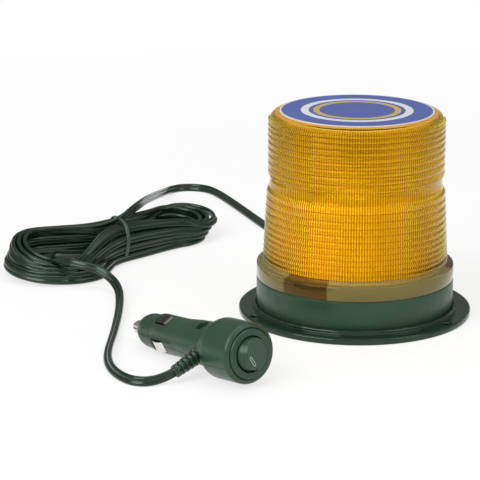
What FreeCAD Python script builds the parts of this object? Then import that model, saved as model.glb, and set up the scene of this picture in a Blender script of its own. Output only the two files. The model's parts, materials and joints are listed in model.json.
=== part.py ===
"""Strobe beacon on a round magnetic base, with its twin lead, tied hank and switched accessory plug.

Millimetres and degrees. The origin is the centre of the base underside and Z points up.
"""
import math
import os

import FreeCAD
import Part
from FreeCAD import Vector

os.makedirs("parts", exist_ok=True)

# Fits
fit = 0.3
run = 0.05

# Base
rim_w = 9.5
flange_t = 3.5
flange_edge = 0.6
flange_holes = 3
flange_hole_d = 4.4
flange_hole_inset = 3.5
flange_hole_angle = 86.0
step_w = 1.9
step_h = 2.1
step_edge = 0.6
wall_t = 2.5
tub_t = 3.4
seam_z = 19.9
floor_t = 2.0
collar_t = 2.9
collar_h = 7.0

# Magnet
pad_t = 1.2
magnet_t = 4.0
magnet_screw_gap = 0.45
magnet_bore_d = 36.0
plate_t = 1.5
pocket_d = 92.6
pocket_roof_t = 1.3

# Screws
flange_screw_inset = 3.1
screw_d = 3.0
screw_head_d = 5.5
screw_head_h = 1.6
boss_d = 7.0
boss_h = 5.0
board_screw_inset = 7.0
board_screw_d = 2.5
board_screw_head_d = 4.6
board_screw_head_h = 1.4
board_screw_l = 7.0
board_post_d = 6.0
screw_count = 3

# Lens
skirt_t = 1.8
skirt_top_z = 28.1
skirt_edge = 0.9
rib_foot_z = 30.2
rib_foot_inset = 3.3
rib_depth = 0.9
lower_ribs = 12
lower_rib_ratio = 1.7
lower_taper = 1.9
waist_low_z = 68.9
waist_high_z = 75.6
waist_depth = 1.2
waist_wall = 1.6
upper_ribs = 9
upper_rib_ratio = 0.6
upper_step = 0.5
rib_top_z = 106.4
lip_z = 108.6
lip_inset = 3.5
lens_top_z = 109.4
lens_wall = 2.0
lens_roof_t = 2.4
label_inset = 2.7
label_t = 0.5
label_sink = 0.2
seal_t = 0.5
seal_edge = 0.2
lug_count = 3
lug_angle = 10.0
lug_h = 1.8
lug_depth = 1.5
lug_z = 22.4
lug_play = 0.2
twist_angle = 18.0
slot_play_angle = 0.6

# Angles of the fastenings round the base
flange_screw_angle = 30.0
board_screw_angle = 70.0
pillar_angle = 10.0

# Cable entry
entry_angle = 98.0
entry_z = 14.8
grommet_hole_d = 6.4
grommet_flange_d = 9.0
grommet_flange_t = 1.6
grommet_tail_l = 8.5
grommet_end_d = 5.8

# Circuit board
board_z = 19.0
board_t = 1.6
board_margin = 2.5
board_notch_w = 18.0
board_notch_depth = 6.0
capacitor_d = 16.0
capacitor_l = 32.0
capacitor_inset = 28.0
small_capacitor_d = 10.0
small_capacitor_h = 16.0
small_capacitor_inset = 10.6
small_capacitor_angle = 215.5
core_w = 22.0
core_depth = 10.0
core_h = 17.0
bobbin_w = 14.0
bobbin_depth = 17.0
bobbin_h = 12.0
transformer_inset = 21.6
transformer_angle = 160.0
coil_d = 10.0
coil_h = 14.0
coil_inset = 15.3
coil_angle = -19.7
sink_w = 20.0
sink_h = 20.0
sink_t = 2.0
sink_fins = 4
sink_fin_depth = 6.0
sink_inset = 16.7
sink_angle = 45.0
transistor_w = 10.0
transistor_h = 14.0
transistor_t = 4.4
block_w = 12.0
block_depth = 9.0
block_h = 10.0
block_from_edge = 15.0
lead_d = 1.8
lead_gap = 4.6

# Reflector and flash tube
reflector_z = 64.4
reflector_t = 1.6
reflector_gap = 1.5
reflector_foot_z = 25.0
reflector_edge = 1.0
pillar_inset = 9.0
pillar_width = 5.5
hexagon_sides = 6
pillar_stud_d = 2.8
holder_d = 24.0
holder_neck_d = 20.0
holder_flange_h = 2.6
holder_h = 9.0
holder_floor = 3.0
tube_d = 5.6
tube_spacing = 13.0
tube_roof_gap = 6.0
tube_lead_d = 1.4
strip_share = 0.5
strip_h = 2.0
strip_t = 0.6

# Lead
cord_d = 4.6
cord_arc_share = 0.45
cord_to_hank_run = (
    (-15.0, 95.0, 7.5),
    (-25.0, 120.0, 2.4),
    (-50.0, 150.0, 2.4),
    (-64.0, 183.0, 2.4),
    (-77.0, 214.0, 2.4),
    (-90.0, 243.0, 2.4),
    (-99.0, 255.0, 2.4),
    (-114.0, 257.0, 2.4),
    (-123.5, 248.0, 2.6),
    (-124.5, 226.0, 5.0),
    (-124.0, 200.0, 10.5),
    (-124.0, 172.0, 16.5),
    (-124.5, 143.0, 22.5),
    (-127.5, 121.0, 25.4),
    (-132.5, 106.0, 24.5),
    (-136.5, 99.5, 21.5),
)
cord_exit_l = 15.8
cord_to_plug_run = (
    (-172.0, 52.0, 11.0),
    (-163.0, 38.5, 12.5),
    (-151.5, 33.0, 11.5),
    (-141.0, 32.5, 8.5),
    (-131.0, 23.5, 3.8),
    (-125.8, -4.0, 2.4),
    (-123.6, -50.0, 2.4),
    (-123.5, -88.0, 2.4),
    (-119.3, -110.0, 2.4),
    (-110.5, -125.5, 2.4),
    (-101.5, -130.5, 2.4),
)
cord_relief_l = 7.0

# Hank
hank_x = -140.0
hank_y = 96.5
hank_heading = 48.0
hank_left = -50.0
hank_left_r = 29.0
hank_right = 60.0
hank_right_r = 20.0
hank_lean = 70.0
hank_waist_w = 36.0
hank_z = 1.2
hank_h = 17.4
hank_waist_h = 24.0
hank_round = 4.5
hank_ridge_inset = 6.0
tie_w = 3.0
tie_t = 0.8
tie_gap = 0.6

# Plug: x runs from the front of the switch to the tip, and the angles are seen from the front
plug_x = -48.7
plug_y = -128.8
plug_azimuth = 131.6
head_d = 30.2
head_edge = 2.2
edge_bend = 0.3
bezel_depth = 3.7
bezel_proud = 0.9
bezel_lip = 2.7
bezel_edge = 0.5
head_l = 16.0
flare_l = 9.0
flare_bend = 0.27
flare_sag = 0.3
neck_d = 22.8
neck_l = 23.0
barrel_d = 19.8
barrel_end = 71.0
nose_end = 85.6
nose_shoulder = 77.6
nose_step = 0.6
nose_taper = 0.5
nose_front_d = 13.6
nose_edge = 0.9
nose_bend = 0.6
thread_d = 15.0
thread_l = 6.5
nose_wall = 1.8
tip_d = 6.8
tip_end = 95.2
tip_edge = 0.8
tip_front_d = 5.2
tip_front_l = 2.6
tip_collar_d = 9.8
tip_collar_t = 1.8
tip_tail = 2.9
fuse_d = 6.0
fuse_l = 25.0
fuse_cap_l = 5.0
fuse_glass_d = 5.4
contact_l = 7.0
contact_t = 0.4
contact_w = 3.6
contact_folds = 4
parting_angle = -20.0
shell_screw_x = 32.9
shell_screw_d = 2.8
shell_screw_head_d = 5.8
shell_screw_head_h = 2.2
shell_screw_seat_r = 5.4
shell_screw_l = 13.0
relief_x = 30.4
relief_gap = 0.8
relief_d = 7.8
relief_end_d = 6.6
relief_core_d = 4.5
relief_ribs = 5
relief_rib_share = 0.58
relief_end_r = 26.5
relief_collar_d = 8.8
relief_collar_t = 1.8
relief_collar_r = 8.6
rocker_d = 17.2
rocker_gap = 0.4
rocker_tilt = 16.0
rocker_pivot = 2.2
rocker_top = 2.9
rocker_foot_d = 9.0
rocker_foot = 8.0
rocker_pin_d = 2.0
sleeve_t = 0.6
sleeve_l = 9.0
switch_body_l = 8.5
blade_w = 5.0
blade_t = 0.8
blade_l = 5.5
blade_spacing = 7.0
cavity_end = 29.0
spring_angles = (64.0, -26.0, 154.0)
spring_names = ("ground_spring_top", "ground_spring_front", "ground_spring_rear")
slot_start = 59.4
slot_l = 9.4
slot_w = 6.8
slot_floor_r = 7.0
spring_t = 0.5
spring_end_r = 9.5
spring_crown_r = 10.5

# Sizes that follow from those above
origin = Vector(0, 0, 0)
x_axis = Vector(1, 0, 0)
y_axis = Vector(0, 1, 0)
z_axis = Vector(0, 0, 1)
tub_r = pocket_d / 2 + tub_t
wall_r = tub_r + fit + wall_t
flange_d = 2 * (wall_r + rim_w)
flange_hole_pcd = flange_d - 2 * flange_hole_inset
flange_screw_pcd = pocket_d - 2 * flange_screw_inset
magnet_d = flange_screw_pcd - screw_head_d - 2 * magnet_screw_gap
pocket_h = pad_t + magnet_t + plate_t
tub_top = pocket_h + pocket_roof_t
floor_top = tub_top + floor_t
collar_r = wall_r - skirt_t - fit
collar_in_r = collar_r - collar_t
collar_top = seam_z + collar_h
seat_r = wall_r + fit
step_r = seat_r + step_w
plate_r = pocket_d / 2 - fit
board_top = board_z + board_t
board_r = collar_in_r - board_margin
board_screw_pcd = 2 * (board_r - board_screw_inset)
pillar_pcd = 2 * (board_r - pillar_inset)
grommet_end_r = wall_r + grommet_tail_l
lens_foot = seam_z + seal_t
rib_foot_r = wall_r - rib_foot_inset
lower_top_r = rib_foot_r - lower_taper
upper_r = lower_top_r - upper_step
waist_r = upper_r - waist_depth
lip_r = upper_r - lip_inset
label_r = lip_r - label_inset
lens_in_low_r = rib_foot_r - rib_depth - lens_wall
waist_in_r = waist_r - waist_wall
lens_in_high_r = upper_r - rib_depth - lens_wall
lens_in_top = lens_top_z - lens_roof_t
reflector_r = waist_in_r - reflector_gap
reflector_top = reflector_z + reflector_t
holder_top = reflector_top + holder_h
tube_foot = reflector_top + holder_floor
tube_top = lens_in_top - tube_roof_gap
strip_z = tube_foot + (tube_top - tube_foot) * strip_share - strip_h
head_r = head_d / 2
barrel_r = barrel_d / 2
bezel_r = head_r - bezel_lip
bore_r = rocker_d / 2 + rocker_gap
sleeve_r = bore_r + sleeve_t
sleeve_end = bezel_depth + sleeve_l
fuse_front = nose_end - nose_wall - fit - tip_collar_t - tip_tail
fuse_back = fuse_front - fuse_l
contact_back = fuse_back - contact_l
tunnel_r = fuse_d / 2 + fit


def save(name, shape):
    shape.exportStep(f"parts/{name}.step")


def outline(items):
    """Face in the XZ plane. A pair is a corner; two pairs are an arc through the first to the second."""
    edges = []
    first = Vector(items[0][0], 0, items[0][1])
    last = first
    for item in items[1:]:
        if isinstance(item[0], tuple):
            middle = Vector(item[0][0], 0, item[0][1])
            end = Vector(item[1][0], 0, item[1][1])
            edges.append(Part.Arc(last, middle, end).toShape())
        else:
            end = Vector(item[0], 0, item[1])
            edges.append(Part.makeLine(last, end))
        last = end
    edges.append(Part.makeLine(last, first))
    return Part.Face(Part.Wire(edges))


def turned(items, angle=360.0):
    """Solid of (radius, height) points turned about Z."""
    return outline(items).revolve(origin, z_axis, angle)


def turned_x(items):
    """Solid of (distance, radius) points turned about X."""
    return outline(items).revolve(origin, x_axis, 360.0)


def cylinder(radius, height, base=origin, axis=z_axis):
    return Part.makeCylinder(radius, height, base, axis)


def block(width, depth, height, middle):
    """Box with the given middle of its base."""
    corner = middle - Vector(width / 2, depth / 2, 0)
    return Part.makeBox(width, depth, height, corner)


def polar(radius, angle, height=0.0):
    turn = math.radians(angle)
    return Vector(radius * math.cos(turn), radius * math.sin(turn), height)


def around(shape, count, start=0.0):
    """Copies of a shape spread evenly about Z."""
    copies = []
    for index in range(count):
        copy = shape.copy()
        copy.rotate(origin, z_axis, start + 360.0 * index / count)
        copies.append(copy)
    return copies


def group(shapes):
    return Part.makeCompound(shapes)


def cut_all(shape, tools):
    for tool in tools:
        shape = shape.cut(tool)
    return shape



def mounting_flange():
    """Glossy lower disc: the rim with its holes, the raised ring and the tub over the magnet."""
    rim = flange_d / 2
    top = flange_t + step_h
    disc = turned([
        (pocket_d / 2, 0),
        (rim - flange_edge, 0),
        (rim, flange_edge),
        (rim, flange_t - flange_edge),
        (rim - flange_edge, flange_t),
        (step_r, flange_t),
        (step_r, top - step_edge),
        (step_r - step_edge, top),
        (seat_r, top),
        (seat_r, flange_t),
        (tub_r, flange_t),
        (tub_r, tub_top),
        (0, tub_top),
        (0, pocket_h),
        (pocket_d / 2, pocket_h),
    ])
    hole = cylinder(flange_hole_d / 2, flange_t, Vector(flange_hole_pcd / 2, 0, 0))
    screw_hole = cylinder(screw_d / 2 + run, tub_top, Vector(flange_screw_pcd / 2, 0, 0))
    holes = around(hole, flange_holes, flange_hole_angle)
    return cut_all(disc, holes + around(screw_hole, screw_count, flange_screw_angle))


def base_housing():
    """Satin wall, floor and collar, with screw bosses, board posts, bayonet slots and the cable hole."""
    body = turned([
        (wall_r - wall_t, flange_t),
        (wall_r, flange_t),
        (wall_r, seam_z),
        (collar_r, seam_z),
        (collar_r, collar_top),
        (collar_in_r, collar_top),
        (collar_in_r, floor_top),
        (0, floor_top),
        (0, tub_top),
        (wall_r - wall_t, tub_top),
    ])
    boss = cylinder(boss_d / 2, boss_h, Vector(flange_screw_pcd / 2, 0, floor_top))
    post = cylinder(board_post_d / 2, board_z - floor_top, Vector(board_screw_pcd / 2, 0, floor_top))
    for part in around(boss, screw_count, flange_screw_angle) + around(post, screw_count, board_screw_angle):
        body = body.fuse(part)
    screw_hole = cylinder(screw_d / 2 + run, boss_h, Vector(flange_screw_pcd / 2, 0, tub_top))
    thread_foot = Vector(board_screw_pcd / 2, 0, board_top - board_screw_l)
    thread = cylinder(board_screw_d / 2 + run, board_screw_l, thread_foot)
    body = cut_all(body, around(screw_hole, screw_count, flange_screw_angle))
    body = cut_all(body, around(thread, screw_count, board_screw_angle))
    body = cut_all(body, around(bayonet_slot(), lug_count))
    cable_hole = cylinder(grommet_hole_d / 2, wall_t + collar_t + grommet_hole_d,
                          polar(collar_in_r - grommet_flange_t, entry_angle, entry_z), polar(1, entry_angle))
    return body.cut(cable_hole).removeSplitter()


def sector(inner, outer, low, high, start, angle):
    """Part of a ring with a rectangular section."""
    shape = turned([(inner, low), (outer, low), (outer, high), (inner, high)], angle)
    shape.rotate(origin, z_axis, start)
    return shape


def bayonet_slot():
    """L-shaped slot for one lens lug: along the collar, then up to its rim."""
    inner = collar_r - lug_depth
    half = lug_angle / 2 + slot_play_angle
    low = lug_z - lug_play
    along = sector(inner, wall_r, low, lug_z + lug_h + lug_play, -half, twist_angle + 2 * half)
    up = sector(inner, wall_r, low, collar_top + lug_play, twist_angle - half, 2 * half)
    return along.fuse(up)


def rib_levels(low, high, count, ratio):
    """Heights between the ribs; the last rib is ratio times as tall as the first."""
    shares = [1 + (ratio - 1) * index / (count - 1) for index in range(count)]
    unit = (high - low) / sum(shares)
    levels = [low]
    for share in shares:
        levels.append(levels[-1] + unit * share)
    return levels


def rib_points(low, high, low_r, high_r, count, ratio):
    """Zigzag of crests between valleys, from the lowest valley to the highest."""
    def crest_r(level):
        return low_r + (high_r - low_r) * (level - low) / (high - low)
    levels = rib_levels(low, high, count, ratio)
    points = [(crest_r(low) - rib_depth, low)]
    for below, above in zip(levels, levels[1:]):
        crest = (below + above) / 2
        points.append((crest_r(crest), crest))
        points.append((crest_r(above) - rib_depth, above))
    return points


def lens():
    """Amber lens: skirt with bayonet lugs, two fields of prism ribs, plain waist, lip and label seat."""
    skirt_in = wall_r - skirt_t
    ledge = collar_top + fit
    seat = lens_top_z - label_sink
    outer = [(skirt_in, lens_foot), (wall_r, lens_foot)]
    outer += [(wall_r, skirt_top_z - skirt_edge), (wall_r - skirt_edge, skirt_top_z)]
    outer += rib_points(rib_foot_z, waist_low_z, rib_foot_r, lower_top_r, lower_ribs, lower_rib_ratio)
    outer += [(waist_r, waist_low_z), (waist_r, waist_high_z)]
    outer += rib_points(waist_high_z, rib_top_z, upper_r, upper_r, upper_ribs, upper_rib_ratio)
    outer += [(lip_r, lip_z), (label_r + run, lens_top_z), (label_r + run, seat), (0, seat)]
    inner = [(0, lens_in_top), (lens_in_high_r, lens_in_top)]
    inner += [(waist_in_r, waist_high_z), (waist_in_r, waist_low_z)]
    inner += [(lens_in_low_r, ledge), (skirt_in, ledge)]
    body = turned(outer + inner)
    lug_r = collar_r - lug_depth + fit
    lug = sector(lug_r, skirt_in + skirt_t / 2, lug_z, lug_z + lug_h, -lug_angle / 2, lug_angle)
    for part in around(lug, lug_count):
        body = body.fuse(part)
    return body.removeSplitter()


def top_label():
    return cylinder(label_r, label_t, Vector(0, 0, lens_top_z - label_sink))


def lens_seal():
    inner = collar_r + seal_edge
    outer = wall_r - seal_edge
    return turned([(inner, seam_z), (outer, seam_z), (outer, lens_foot), (inner, lens_foot)])


def screw(diameter, head_d, head_h, length, under_head, up):
    """Plain screw: the head's seat is at under_head, and the shank runs along up."""
    head = cylinder(head_d / 2, head_h, under_head - up * head_h, up)
    return head.fuse(cylinder(diameter / 2, length, under_head, up))


def magnet_stack():
    pad = cylinder(plate_r, pad_t)
    magnet = cylinder(magnet_d / 2, magnet_t, Vector(0, 0, pad_t))
    magnet = magnet.cut(cylinder(magnet_bore_d / 2, magnet_t, Vector(0, 0, pad_t)))
    plate = cylinder(plate_r, plate_t, Vector(0, 0, pad_t + magnet_t))
    hole = cylinder(screw_d / 2 + run, pocket_h, Vector(flange_screw_pcd / 2, 0, 0))
    plate = cut_all(plate, around(hole, screw_count, flange_screw_angle))
    return pad, magnet, plate


def flange_screws():
    seat = Vector(flange_screw_pcd / 2, 0, pad_t + magnet_t)
    length = floor_top + boss_h - floor_t - seat.z
    one = screw(screw_d, screw_head_d, screw_head_h, length, seat, z_axis)
    return group(around(one, screw_count, flange_screw_angle))


def cable_grommet():
    """Rubber bush along the entry axis: inner flange, body through the wall, outer flange and sleeve."""
    hole_r = grommet_hole_d / 2 - run
    rim_r = grommet_flange_d / 2
    inside = math.sqrt(collar_in_r ** 2 - rim_r ** 2) - run
    outside = wall_r + run
    bush = turned_x([
        (inside - grommet_flange_t, 0),
        (inside - grommet_flange_t, rim_r),
        (inside, rim_r),
        (inside, hole_r),
        (outside, hole_r),
        (outside, rim_r),
        (outside + grommet_flange_t, rim_r),
        (outside + grommet_flange_t, hole_r),
        (grommet_end_r, grommet_end_d / 2),
        (grommet_end_r, 0),
    ])
    bush.rotate(origin, z_axis, entry_angle)
    bush.translate(Vector(0, 0, entry_z))
    return bush


def circuit_board():
    board = cylinder(board_r, board_t, Vector(0, 0, board_z))
    hole = cylinder(board_screw_d / 2 + run, board_t, Vector(board_screw_pcd / 2, 0, board_z))
    notch = block(board_notch_depth * 2, board_notch_w, board_t, Vector(board_r, 0, board_z))
    notch.rotate(origin, z_axis, entry_angle)
    return cut_all(board.cut(notch), around(hole, screw_count, board_screw_angle))


def board_screws():
    seat = Vector(board_screw_pcd / 2, 0, board_top)
    one = screw(board_screw_d, board_screw_head_d, board_screw_head_h, board_screw_l, seat, z_axis * -1)
    return group(around(one, screw_count, board_screw_angle))


def on_board(inset, angle):
    """Place on the board, measured inwards from its edge."""
    return polar(board_r - inset, angle, board_top)


def storage_capacitors():
    middle = on_board(capacitor_inset, -90) + z_axis * (capacitor_d / 2 + run)
    lying = cylinder(capacitor_d / 2, capacitor_l, middle - x_axis * (capacitor_l / 2), x_axis)
    foot = on_board(small_capacitor_inset, small_capacitor_angle)
    return group([lying, cylinder(small_capacitor_d / 2, small_capacitor_h, foot)])


def inverter_transformer():
    """Ferrite core with its winding standing out on both sides."""
    foot = on_board(transformer_inset, transformer_angle)
    core = block(core_w, core_depth, core_h, foot)
    winding = block(bobbin_w, bobbin_depth, bobbin_h, foot + z_axis * ((core_h - bobbin_h) / 2))
    return core.fuse(winding).removeSplitter()


def trigger_coil():
    return cylinder(coil_d / 2, coil_h, on_board(coil_inset, coil_angle))


def heat_sink():
    """Upright aluminium plate with fins on its outer side."""
    foot = on_board(sink_inset, sink_angle)
    plate = block(sink_w, sink_t, sink_h, foot)
    pitch = (sink_w - sink_t) / (sink_fins - 1)
    for index in range(sink_fins):
        aside = Vector(index * pitch - (sink_w - sink_t) / 2, (sink_t + sink_fin_depth) / 2, 0)
        plate = plate.fuse(block(sink_t, sink_fin_depth, sink_h, foot + aside))
    return plate.removeSplitter()


def power_transistor():
    foot = on_board(sink_inset, sink_angle) - y_axis * ((sink_t + transistor_t) / 2)
    return block(transistor_w, transistor_t, transistor_h, foot)


def block_face():
    """Radius of the terminal block's side that faces the cable entry."""
    return board_r - board_notch_depth - block_from_edge + block_depth


def terminal_block():
    face = block_face()
    body = block(block_depth, block_w, block_h, Vector(face - block_depth / 2, 0, board_top))
    for side in (-1, 1):
        entry = Vector(face - block_depth / 2, side * lead_gap / 2, board_top + block_h / 2)
        body = body.cut(cylinder(lead_d / 2 + run, block_depth, entry, x_axis))
    body.rotate(origin, z_axis, entry_angle)
    return body


def supply_leads():
    """Two insulated cores from the grommet up through the board notch into the terminal block."""
    inside = math.sqrt(collar_in_r ** 2 - (grommet_flange_d / 2) ** 2) - run - grommet_flange_t
    level = board_top + block_h / 2
    bend = (level - entry_z) / 2
    face = block_face()
    inset = bend * (1 - math.cos(math.pi / 4))
    wires = []
    for side in (-1, 1):
        y = side * lead_gap / 2
        low = Vector(inside, y, entry_z)
        low_side = Vector(inside - bend + inset, y, entry_z + inset)
        middle = Vector(inside - bend, y, entry_z + bend)
        high_side = Vector(inside - bend - inset, y, level - inset)
        high = Vector(inside - 2 * bend, y, level)
        end = Vector(face - block_depth / 2, y, level)
        rise = [Part.Arc(low, low_side, middle).toShape(), Part.Arc(middle, high_side, high).toShape()]
        wires.append(tube_along(rise + [Part.makeLine(high, end)], lead_d / 2, low, x_axis))
    leads = group(wires)
    leads.rotate(origin, z_axis, entry_angle)
    return leads


def tube_along(edges, radius, first, along):
    """Round solid along a path of joined edges that starts at first in the direction along."""
    ring = Part.Face(Part.Wire(Part.makeCircle(radius, first, along)))
    return Part.Wire(edges).makePipe(ring)


def reflector():
    """White cup turned over the circuit board; the flash tube stands on its top."""
    plate = turned([
        (0, reflector_z),
        (reflector_r - reflector_t, reflector_z),
        (reflector_r - reflector_t, reflector_foot_z),
        (reflector_r, reflector_foot_z),
        (reflector_r, reflector_top - reflector_edge),
        (reflector_r - reflector_edge, reflector_top),
        (0, reflector_top),
    ])
    stud = cylinder(pillar_stud_d / 2 + run, reflector_t, Vector(pillar_pcd / 2, 0, reflector_z))
    wire = cylinder(tube_lead_d / 2 + run, reflector_t, Vector(tube_spacing / 2, 0, reflector_z))
    return cut_all(plate, around(stud, screw_count, pillar_angle) + around(wire, 2))


def reflector_pillars():
    """Hexagonal spacers with a stud through the reflector."""
    corner = pillar_width / math.sqrt(3)
    middle = Vector(pillar_pcd / 2, 0, board_top)
    points = [middle + polar(corner, 360 / hexagon_sides * index) for index in range(hexagon_sides + 1)]
    hexagon = Part.Face(Part.makePolygon(points))
    spacer = hexagon.extrude(z_axis * (reflector_z - board_top))
    stud = cylinder(pillar_stud_d / 2, 2 * reflector_t, Vector(pillar_pcd / 2, 0, reflector_z))
    return group(around(spacer.fuse(stud), screw_count, pillar_angle))


def tube_holder():
    """White socket for the flash tube's two legs."""
    body = turned([
        (0, reflector_top),
        (holder_d / 2, reflector_top),
        (holder_d / 2, reflector_top + holder_flange_h),
        (holder_neck_d / 2, reflector_top + holder_flange_h),
        (holder_neck_d / 2, holder_top),
        (0, holder_top),
    ])
    leg = cylinder(tube_d / 2 + run, holder_h, Vector(tube_spacing / 2, 0, tube_foot))
    wire = cylinder(tube_lead_d / 2 + run, holder_floor, Vector(tube_spacing / 2, 0, reflector_top))
    return cut_all(body, around(leg, 2) + around(wire, 2))


def flash_tube():
    """U of glass: two legs and a half ring."""
    half = tube_spacing / 2
    foot = tube_foot
    shoulder = tube_top - half - tube_d / 2
    rise = Vector(-half, 0, shoulder)
    fall = Vector(half, 0, shoulder)
    left = Part.makeLine(Vector(-half, 0, foot), rise)
    bend = Part.Arc(rise, Vector(0, 0, shoulder + half), fall).toShape()
    right = Part.makeLine(fall, Vector(half, 0, foot))
    return tube_along([left, bend, right], tube_d / 2, Vector(-half, 0, foot), z_axis)


def tube_leads():
    length = tube_foot - board_top
    one = cylinder(tube_lead_d / 2, length, Vector(tube_spacing / 2, 0, board_top))
    return group(around(one, 2))


def trigger_strip():
    """Metal strip bent round both legs of the tube."""
    half = tube_spacing / 2
    inner = tube_d / 2 + run
    strip = block(tube_spacing, strip_t, strip_h, Vector(0, 0, strip_z))
    for side in (-1, 1):
        strip = strip.fuse(cylinder(inner + strip_t, strip_h, Vector(side * half, 0, strip_z)))
    for side in (-1, 1):
        strip = strip.cut(cylinder(inner, strip_h, Vector(side * half, 0, strip_z)))
    return strip


def cord_path(points):
    """Straight runs joined by tangent arcs; prints each bend's radius."""
    points = [Vector(*point) for point in points]
    edges = []
    radii = []
    last = points[0]
    for before, corner, after in zip(points, points[1:], points[2:]):
        back = (before - corner)
        ahead = (after - corner)
        reach = cord_arc_share * min(back.Length, ahead.Length)
        back.normalize()
        ahead.normalize()
        half_turn = (math.pi - back.getAngle(ahead)) / 2
        radius = reach / math.tan(half_turn)
        radii.append(radius)
        start = corner + back * reach
        end = corner + ahead * reach
        inward = (back + ahead).normalize()
        centre = corner + inward * (radius / math.cos(half_turn))
        middle = centre - inward * radius
        edges.append(Part.LineSegment(last, start).toShape())
        edges.append(Part.Arc(start, middle, end).toShape())
        last = end
    edges.append(Part.LineSegment(last, points[-1]).toShape())
    print("bend radii", [round(radius, 1) for radius in radii])
    return edges


def cord_tube(name, points):
    edges = cord_path(points)
    first = Vector(*points[0])
    tube = tube_along(edges, cord_d / 2, first, Vector(*points[1]) - first)
    length = sum(edge.Length for edge in edges)
    expected = math.pi * cord_d ** 2 / 4 * length
    print(name, "length", round(length, 1), "volume ratio", round(tube.Volume / expected, 4))
    return tube


def entry_points():
    """Where the lead leaves the grommet, and the end of its first straight run."""
    return [polar(radius, entry_angle, entry_z) for radius in (grommet_end_r, grommet_end_r + cord_exit_l)]


def cord_to_hank():
    return cord_tube("cord_to_hank", [tuple(point) for point in entry_points()] + list(cord_to_hank_run))


def cord_to_plug():
    end = Vector(*relief_tip(relief_end_r))
    knee = Vector(*relief_tip(relief_end_r + cord_relief_l))
    return cord_tube("cord_to_plug", list(cord_to_plug_run) + [tuple(knee), tuple(end)])


def on_hank(shape):
    shape.rotate(origin, z_axis, hank_heading)
    shape.translate(Vector(hank_x, hank_y, 0))
    return shape


def cord_hank():
    """Outer shape of the tied turns: two ends joined through a waist, where the tie heaps them up."""
    waist = hank_waist_w / 2
    lean = math.radians(hank_lean)
    left_x = hank_left + hank_left_r * math.cos(lean)
    left_y = hank_left_r * math.sin(lean)
    right_x = hank_right - hank_right_r * math.cos(lean)
    right_y = hank_right_r * math.sin(lean)
    left_end = Vector(hank_left - hank_left_r, 0, hank_z)
    right_end = Vector(hank_right + hank_right_r, 0, hank_z)
    corners = [Vector(left_x, left_y, hank_z), Vector(0, waist, hank_z), Vector(right_x, right_y, hank_z)]
    mirrored = [Vector(corner.x, -corner.y, corner.z) for corner in corners]
    edges = [
        Part.makeLine(corners[0], corners[1]),
        Part.makeLine(corners[1], corners[2]),
        Part.Arc(corners[2], right_end, mirrored[2]).toShape(),
        Part.makeLine(mirrored[2], mirrored[1]),
        Part.makeLine(mirrored[1], mirrored[0]),
        Part.Arc(mirrored[0], left_end, corners[0]).toShape(),
    ]
    turns = Part.Face(Part.Wire(edges)).extrude(z_axis * hank_h)
    level = [edge for edge in turns.Edges if edge.BoundBox.ZLength < run]
    turns = turns.makeChamfer(hank_round, level)
    half = waist - hank_ridge_inset
    ridge = outline([
        (left_x, hank_z + hank_h),
        (0, hank_z + hank_waist_h),
        (right_x, hank_z + hank_h),
        (right_x, hank_z + hank_h / 2),
        (left_x, hank_z + hank_h / 2),
    ])
    ridge.translate(y_axis * half)
    return on_hank(turns.fuse(ridge.extrude(y_axis * (-2 * half))).removeSplitter())


def rounded_bar(width, low, high, corner, length):
    """Bar along X with a rounded section, centred on the waist."""
    bar = Part.makeBox(length, width, high - low, Vector(-length / 2, -width / 2, low))
    along = [edge for edge in bar.Edges if edge.BoundBox.XLength > length - run]
    return bar.makeChamfer(corner, along)


def hank_tie():
    """Band round the waist of the hank."""
    width = hank_waist_w + 2 * tie_gap
    low = hank_z - fit
    high = hank_z + hank_waist_h + fit
    inner = rounded_bar(width, low, high, hank_round, tie_w)
    outer = rounded_bar(width + 2 * tie_t, low - tie_t, high + tie_t, hank_round + tie_t, tie_w)
    return on_hank(outer.cut(inner))


# Plug frame: the end of the head and the end of the barrel both rest on the floor
head_end = bezel_depth + head_l
plug_tilt = math.degrees(math.atan2(head_r - barrel_r, barrel_end - head_end))
plug_lean = math.radians(plug_tilt)
plug_at = Vector(plug_x, plug_y, head_r * math.cos(plug_lean) + head_end * math.sin(plug_lean) + run)


def placed(shape):
    shape.rotate(origin, y_axis, plug_tilt)
    shape.rotate(origin, z_axis, plug_azimuth)
    shape.translate(plug_at)
    return shape


def across(angle):
    """Unit vector across the plug at an angle above its camera side."""
    turn = math.radians(angle)
    return Vector(0, math.cos(turn), math.sin(turn))


def relief_tip(radius):
    """World point on the strain relief's axis at a distance from the plug's axis."""
    point = Vector(relief_x, 0, 0) + across(parting_angle) * radius
    return placed(Part.Vertex(point)).Point


def rolled(shape, angle):
    """Shape made on the +Y side, turned about the plug's axis."""
    shape.rotate(origin, x_axis, angle)
    return shape


def strain_relief(clearance=0.0):
    """Ribbed boot clamped between the shell halves by its collar; with a clearance, the hole for it."""
    neck_end = neck_d / 2 + relief_gap
    pitch = (relief_end_r - neck_end) / relief_ribs
    rib_w = pitch * relief_rib_share
    core_r = relief_core_d / 2 + clearance
    boot_collar_r = relief_collar_d / 2 + clearance
    collar_low = relief_collar_r - clearance
    collar_high = relief_collar_r + relief_collar_t + clearance
    points = [(0, collar_low), (boot_collar_r, collar_low), (boot_collar_r, collar_high), (core_r, collar_high)]
    if clearance:
        points += [(core_r, relief_end_r), (0, relief_end_r)]
    else:
        for index in range(relief_ribs):
            low = neck_end + index * pitch
            share = index / (relief_ribs - 1)
            rib_r = (relief_d + (relief_end_d - relief_d) * share) / 2
            points += [(core_r, low), (rib_r, low), (rib_r, low + rib_w), (core_r, low + rib_w)]
        points += [(core_r, relief_end_r), (0, relief_end_r)]
    boot = turned(points)
    boot.rotate(origin, x_axis, -90)
    boot.translate(Vector(relief_x, 0, 0))
    return rolled(boot, parting_angle)


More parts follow.
